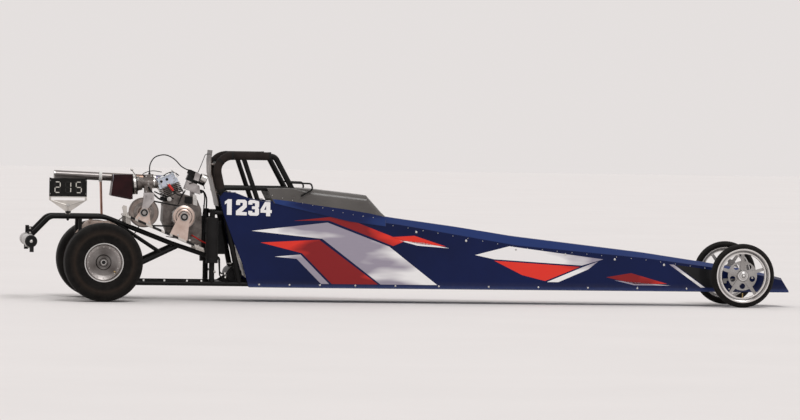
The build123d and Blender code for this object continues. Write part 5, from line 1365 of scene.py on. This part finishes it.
    def lines(self):
        """Clips of the brake line, hose clamps, cable glands and ties."""
        clips, clamps, ties = Piece(), Piece(), Piece()
        for x in (250, 372, 505, 590):
            clips.block((x, -219, 121), (9, 9, 13))
        clips.make("line_clips", "chassis", "clip_white", "black_plastic")
        for x, y, z in ((673, -118, 262), (737, -118, 162), (673, -134, 258), (739, -134, 140)):
            clamps.band((x, y, z), AHEAD, 4, 4.6, 5.8, 20)
            clamps.block((x, y, z + 7), (7, 7, 4))
        clamps.make("hose_clamps", "chassis", "bolt_steel", "steel")
        glands = (((594, -60, 649), 5.2), ((594, -85, 641), 5.8), ((629, -60, 402), 5.2),
                  ((629, -85, 306), 5.8))
        for place, radius in glands:
            ties.turned(place, AHEAD, [(-6, radius - 0.6), (-6, radius + 2), (2, radius + 2), (6, radius),
                                       (6, radius - 0.6)], 20, True)
        wraps = (((613, -60, 560), 4.1), ((607, -60, 440), 4.1), ((621, -85, 500), 4.6),
                 ((612, -85, 400), 4.6))
        for place, radius in wraps:
            ties.band(place, UP, 2.4, radius, radius + 1.3, 18)
        ties.turned((291, -20, 746), UP, [(-5, 3.6), (-5, 7), (3, 7), (6, 5), (6, 3.6)], 20, True)
        ties.make("cable_glands", "chassis", "black_plastic", "black_plastic")


# Cockpit

FOAM_REACH = 88.0
FOAM_CENTRE = (764.1, 771.0)
FOAM_LEAN = 11.95
FOAM_RADIUS = 24.0
WEB_THICK = 2.4
WHEEL_AXIS = Vector((-0.964, 0, 0.265))
WHEEL_HUB = Vector((1390, 0, 470))
BUCKLE_AXIS = (0.5, 0, 0.87)


class DRAGCAR_OT_cockpit(bpy.types.Operator):
    """Stuffed cushions, foam sleeves, harness, steering wheel bolts and pedal rubbers"""
    bl_idname = "dragcar.cockpit"
    bl_label = "Cockpit"

    def execute(self, context):
        sizes = context.scene.drag_car_sizes
        for number, part in enumerate(islands("seat_pads"), 1):
            made = stuffed(part, f"cushion_{number}", "seat_vinyl", sizes.voxel, 0.007, 0.004)
            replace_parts(made, "seat_pads")
        for number, part in enumerate(islands("upright_sleeves"), 1):
            made = stuffed(part, f"sleeve_{number}", "pad_foam", sizes.voxel * 0.8, 0.004, 0.002)
            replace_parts(made, "upright_sleeves")
        self.hoop_foam()
        self.sleeve_ties()
        self.seams()
        self.harness(sizes.web_width * 1000)
        self.wheel()
        self.pedal_faces()
        return {"FINISHED"}

    def hoop_foam(self):
        """Firm foam round the top of both side hoops, with its tape."""
        first, sweep = math.radians(180 + FOAM_LEAN), -math.radians(90 + FOAM_LEAN)
        line = [(699 - k * 7, 655 + k * 33) for k in range(3)]
        line += arc(FOAM_CENTRE, FOAM_REACH, first, sweep, 13)
        line += [(x, FOAM_CENTRE[1] + FOAM_REACH) for x in (820, 880, 940, 984)]
        tape = Piece()
        for side, word in SIDES:
            foam = Piece()
            foam.tube([(x, side * CAGE_Y, z) for x, z in line], FOAM_RADIUS, 24)
            made = foam.make(f"hoop_foam_{word}", "chassis", "foam_brown", "pad_foam", 3.0)
            for k in (0, 9, 15, 19):
                (x0, z0), (x1, z1) = line[max(k - 1, 0)], line[min(k + 1, len(line) - 1)]
                tape.band((line[k][0], side * CAGE_Y, line[k][1]), (x1 - x0, 0, z1 - z0), 7,
                          FOAM_RADIUS - 0.4, FOAM_RADIUS + 0.7, 32)
        tape.make("foam_tape", "chassis", "grip_rubber", "black_plastic")

    def sleeve_ties(self):
        """Laces round both sleeves and the bright bolts on the posts under them."""
        ties, bolts = Piece(), Piece()
        for side, _ in SIDES:
            for z in (252, 466):
                ties.band((650, side * CAGE_Y, z), UP, 3, 35, 37, 36)
            bolts.bolt((666, side * (CAGE_Y + 8), 176), (0.6, side * 0.8, 0), 12, 7)
        ties.make("sleeve_ties", "chassis", "black_plastic", "pad_foam")
        bolts.make("post_bolts", "chassis", "bolt_steel", "steel")

    def seams(self):
        """Piping along both long edges of the seat cushion."""
        piping = Piece()
        for side, _ in SIDES:
            line = [(925, side * 150, 137), (1050, side * 156, 139), (1170, side * 150, 139)]
            piping.tube(bend(line), 2.2, 8)
        piping.make("cushion_piping", "chassis", "grip_rubber", "seat_vinyl")

    def harness(self, width):
        """Two shoulder straps over the seat back, lap straps and the round buckle."""
        webs, metal = Piece(), Piece()
        shoulder = ((704, 58, 655), (716, 58, 660), (742, 60, 652), (790, 60, 560), (850, 56, 440),
                    (902, 50, 320), (938, 40, 232), (962, 18, 176))
        lap = ((905, 154, 158), (930, 132, 168), (955, 90, 170), (974, 22, 166))
        for side, _ in SIDES:
            webs.strap(bend([(x, side * y, z) for x, y, z in shoulder]), width, WEB_THICK, LEFT)
            webs.strap(bend([(x, side * y, z) for x, y, z in lap]), width * 0.9, WEB_THICK, (1, 0, 0.6))
            metal.block((800, side * 60, 549), (34, 56, 4), (0.45, 0, -0.9), (0.9, 0, 0.45))
        metal.turned((972, 0, 170), BUCKLE_AXIS, [(-6, 26), (4, 27), (8, 24), (9, 12), (12, 11), (13, 6)], 32)
        webs.make("harness_straps", "chassis", "harness_web", "seat_vinyl")
        metal.make("harness_buckle", "chassis", "bolt_steel", "steel")

    def wheel(self):
        """Bolts in the steering wheel's hub."""
        bolts = Piece()
        for way in circle(*square_to(WHEEL_AXIS), 3, math.degrees(0.5)):
            bolts.bolt(WHEEL_HUB + WHEEL_AXIS * 10 + way * 15, WHEEL_AXIS, 5, 3)
        bolts.make("steering_bolts", "steering", "bolt_steel", "steel")

    def pedal_faces(self):
        """Ribbed rubbers on the pedals."""
        rubbers = Piece()
        for side, _ in SIDES:
            for k in range(6):
                x, z = 2147 - k * 2.1, 206 + k * 9.5
                rubbers.tube([(x, side * 70 - 22, z), (x, side * 70 + 22, z)], 1.6, 6)
        rubbers.make("pedal_rubbers", "chassis", "grip_rubber", "black_plastic")


def islands(node):
    """The separate solids of a node, each as a mesh of its own."""
    shape = bmesh.new()
    shape.from_mesh(NODES[node].data)
    bmesh.ops.remove_doubles(shape, verts=shape.verts, dist=1e-6)
    left, found = set(shape.verts), []
    while left:
        grown, edge = set(), [next(v for v in shape.verts if v in left)]
        while edge:
            v = edge.pop()
            if v in grown:
                continue
            grown.add(v)
            edge += [e.other_vert(v) for e in v.link_edges]
        left -= grown
        part = shape.copy()
        chosen = {v.index for v in grown}
        part.verts.ensure_lookup_table()
        bmesh.ops.delete(part, geom=[v for v in part.verts if v.index not in chosen], context="VERTS")
        mesh = bpy.data.meshes.new(f"{node}_{len(found)}")
        part.to_mesh(mesh)
        part.free()
        found.append(mesh)
    shape.free()
    return found


CLOTH_STEPS = 20
CLOTH_PRESSURE = 4.0


def stuffed(mesh, name, finish_name, voxel, cap, shrink):
    """Cushion: the solid remeshed, drawn in a little, blown up as cloth, held near its start and smoothed."""
    body = bpy.data.objects.new(name, mesh)
    bpy.context.scene.collection.objects.link(body)
    remesh = body.modifiers.new("remesh", "REMESH")
    remesh.mode, remesh.voxel_size = "VOXEL", voxel
    bake(body)
    for v in body.data.vertices:
        v.co -= v.normal * shrink
    start = [v.co.copy() for v in body.data.vertices]
    cloth = body.modifiers.new("cloth", "CLOTH")
    cloth.settings.quality = 5
    cloth.settings.use_pressure = True
    cloth.settings.uniform_pressure_force = CLOTH_PRESSURE
    cloth.settings.effector_weights.gravity = 0.0
    for step in range(1, CLOTH_STEPS + 1):
        bpy.context.scene.frame_set(step)
    bake(body)
    bpy.context.scene.frame_set(1)
    for v, rest in zip(body.data.vertices, start):
        move = v.co - rest
        if move.length > cap:
            v.co = rest + move.normalized() * cap
    smooth = body.modifiers.new("round", "SUBSURF")
    smooth.levels = smooth.render_levels = 1
    bake(body)
    final = body.data
    bpy.data.objects.remove(body)
    return place_mesh(name, final, "chassis", finish_name, 60)


def bake(thing):
    """Apply a mesh object's modifiers to its mesh."""
    bpy.context.view_layer.update()
    graph = bpy.context.evaluated_depsgraph_get()
    fresh = bpy.data.meshes.new_from_object(thing.evaluated_get(graph))
    thing.modifiers.clear()
    thing.data = fresh


# Rear fittings

# The seven bars of a figure, as steps across and up from its middle, and the bars that each figure shows
BARS = {"top": (0, 1), "middle": (0, 0), "low": (0, -1), "upper_left": (-1, 0.5), "upper_right": (1, 0.5),
        "lower_left": (-1, -0.5), "lower_right": (1, -0.5)}
FIGURES = (("top", "upper_right", "middle", "low", "lower_left"), ("upper_right", "lower_right"),
           ("top", "upper_left", "middle", "lower_right", "low"))
BOARD_CLAMP_X = -196.0


class DRAGCAR_OT_rear_fittings(bpy.types.Operator):
    """Dial board's figures, rails and clamp, roller ends and bands, and guard panel rivets"""
    bl_idname = "dragcar.rear_fittings"
    bl_label = "Rear fittings"

    def execute(self, context):
        self.board_clamp()
        self.figures()
        self.board()
        self.roller()
        self.panel()
        return {"FINISHED"}

    def board_clamp(self):
        """Hook, block and bolts that hold the board's stem."""
        clamp = Piece()
        hook = ((-153, 476), (-166, 479), (-167.5, 491), (-164, 502), (-153, 506))
        clamp.tube(bend([(BOARD_CLAMP_X, y, z) for y, z in hook]), 3.0, 8)
        for z, across in ((512, 15), (472, 11)):
            clamp.bolt((BOARD_CLAMP_X, -152, z), RIGHT, across, 8)
        clamp.block((BOARD_CLAMP_X + 2, -160, 516), (30, 16, 8))
        clamp.make("board_clamp", "chassis", "black_steel", "steel")

    def figures(self):
        """Three figures of seven bars each."""
        lit, dark = Piece(), Piece()
        for place, shown in enumerate(FIGURES):
            for name, (across, above) in BARS.items():
                piece = lit if name in shown else dark
                size = (5, 1.6, 24) if across else (22, 1.6, 5)
                piece.block((place * 62 - 258 + across * 15, -152.4, 660 + above * 31), size)
        lit.make("board_bars_lit", "chassis", "segment_lit", "black_plastic", 0.6)
        dark.make("board_bars_dark", "chassis", "segment_dark", "black_plastic", 0.6)

    def board(self):
        """Screws, side rails and stays of the dial board."""
        rails, screws = Piece(), Piece()
        for x in (-301, -91):
            rails.block((x, -157.0, 595), (11, 2.0, 22))
            screws.bolt((x, -158.4, 594), RIGHT, 5, 3)
            for z in (622, 700):
                screws.rivet((x, -156, z), RIGHT, 2.6)
        rails.block((BOARD_CLAMP_X, -154, 603), (208, 5, 5))
        for side, _ in SIDES:
            for stay in (((104, 586), (10, 556)), ((4, 556), (4, 486))):
                rails.tube([(BOARD_CLAMP_X + side * reach, -153.4, z) for reach, z in stay], 2.4, 8)
        screws.bolt((BOARD_CLAMP_X, -153, 556), RIGHT, 15, 8)
        rails.make("board_rails", "chassis", "plate_aluminium", "plate_aluminium")
        screws.make("board_screws", "chassis", "bolt_steel", "steel")

    def roller(self):
        """End plates with their bolts, and cloth bands on the roller."""
        ends, bands, bolts, centres = Piece(), Piece(), Piece(), Piece()
        for side, _ in SIDES:
            out = (0, side, 0)
            ends.turned((ROLLER_X, side * 303, ROLLER_Z), out, [(0, 34), (2, 35), (6, 35), (8, 32)], 36)
            ends.block((ROLLER_X + 3, side * 316, ROLLER_Z - 46), (24, 12, 34))
            for y in (190, 246, 292):
                bands.band((ROLLER_X, side * y, ROLLER_Z), LEFT, 5, 36.3, 36.5, 40)
            for z in (392, 418):
                bolts.bolt((ROLLER_X, side * 176, z), out, 8, 5)
            centres.turned((ROLLER_X, side * 324, ROLLER_Z), out, [(0, 9.5), (3, 9.5), (4, 8), (4, 3)], 6)
        ends.make("roller_ends", "chassis", "black_steel", "steel")
        bands.make("roller_bands", "chassis", "grip_rubber", "black_plastic")
        bolts.make("roller_bolts", "chassis", "bolt_steel", "steel")
        centres.make("roller_end_bolts", "chassis", "bolt_steel", "steel")

    def panel(self):
        """Rivets along the guard panel and bolts of the axle hangers."""
        rivets, bolts = Piece(), Piece()
        for x0, z0, x1, z1 in ((-120, 402, 110, 438), (-86, 458, 108, 458)):
            for k in range(7):
                rivets.rivet((x0 + (x1 - x0) * k / 6, -142, z0 + (z1 - z0) * k / 6), RIGHT, 3.4)
        for side, _ in SIDES:
            for x, z in ((60, 130), (24, 262), (40, 205)):
                for spot in (-x, x):
                    bolts.bolt((spot, side * 182, z), (0, side, 0), 9, 6)
        rivets.make("panel_rivets", "chassis", "bolt_steel", "steel")
        bolts.make("hanger_bolts", "chassis", "bolt_steel", "steel")


class DRAGCAR_OT_frame_fittings(bpy.types.Operator):
    """Weld beads at the frame's joints and the front axle's hardware"""
    bl_idname = "dragcar.frame_fittings"
    bl_label = "Frame fittings"

    def execute(self, context):
        self.beads()
        self.front_end()
        return {"FINISHED"}

    def beads(self):
        """Fine rippled beads where the tubes meet."""
        beads = Piece()
        for side, _ in SIDES:
            y = side * CAGE_Y
            joints = (((740, y, 115), (-0.05, 0, 1), 16), ((650, y, 125), UP, 16),
                      ((1430, y, 125), (-0.4, 0, 0.9), 16), ((708, y, 668), AHEAD, 12.2),
                      ((882, y, 668), AHEAD, 12.2), ((901, y, 668), AHEAD, 12.2))
            for centre, axis, radius in joints:
                ways = circle(*square_to(axis), 40)
                line = [Vector(centre) + way * (radius + ripple)
                        for way, ripple in zip(ways, (-0.1, 0.5) * 20)]
                beads.tube([*line, line[0]], 1.7, 6)
        beads.make("weld_beads", "chassis", "frame_black", "frame_black")

    def front_end(self):
        """Kingpin bolts, axle clamps with their bolts, and the tie rod's nuts."""
        bolts, clamps, nuts = Piece(), Piece(), Piece()
        for side, word in SIDES:
            pins = Piece()
            pins.bolt((WHEELBASE, side * KNUCKLE_Y, 222), UP, 13, 7)
            pins.turned((WHEELBASE, side * KNUCKLE_Y, 141), -UP, [(-1, 9), (3, 9), (3, 6), (8, 5.6)], 6)
            pins.make(f"kingpin_bolts_{word}", f"knuckle_{word}", "bolt_steel", "steel")
            clamps.band((WHEELBASE, side * 150, FRONT_AXLE_Z), LEFT, 6, 14.2, 18, 28)
            bolts.bolt((WHEELBASE, side * 150, 208), UP, 8, 5)
            nuts.turned((3718, side * 190, 150), (0, side, 0),
                        [(-14, 5.5), (-14, 6.9), (0, 6.9), (0, 5.5)], 6, True)
        clamps.make("axle_clamps", "chassis", "black_steel", "steel")
        bolts.make("axle_clamp_bolts", "chassis", "bolt_steel", "steel")
        nuts.make("tie_rod_nuts", "tie_rod", "bolt_steel", "steel")


PIECES = [DRAGCAR_OT_stage, DRAGCAR_OT_node_finishes, DRAGCAR_OT_body_trim, DRAGCAR_OT_livery,
          DRAGCAR_OT_wheel_fittings, DRAGCAR_OT_drive, DRAGCAR_OT_engine, DRAGCAR_OT_cockpit,
          DRAGCAR_OT_rear_fittings, DRAGCAR_OT_frame_fittings]


class DRAGCAR_PT_sidebar(bpy.types.Panel):
    """Sizes, colours and pieces of the drag racing car"""
    bl_idname = "DRAGCAR_PT_sidebar"
    bl_label = "Drag racing car"
    bl_space_type = "VIEW_3D"
    bl_region_type = "UI"
    bl_category = "Drag car"

    def draw(self, context):
        for group in (context.scene.drag_car_sizes, context.scene.drag_car_colours):
            box = self.layout.box()
            for key in group.__annotations__:
                box.prop(group, key)
        for piece in PIECES:
            self.layout.operator(piece.bl_idname)


CLASSES = [DragCarSizes, DragCarColours, *PIECES, DRAGCAR_PT_sidebar]


def register():
    for cls in CLASSES:
        bpy.utils.register_class(cls)
    bpy.types.Scene.drag_car_sizes = bpy.props.PointerProperty(type=DragCarSizes)
    bpy.types.Scene.drag_car_colours = bpy.props.PointerProperty(type=DragCarColours)


def unregister():
    del bpy.types.Scene.drag_car_sizes
    del bpy.types.Scene.drag_car_colours
    for cls in reversed(CLASSES):
        bpy.utils.unregister_class(cls)


def main():
    register()
    for piece in PIECES:
        group, action = piece.bl_idname.split(".")
        getattr(getattr(bpy.ops, group), action)()


if __name__ == "__main__":
    main()
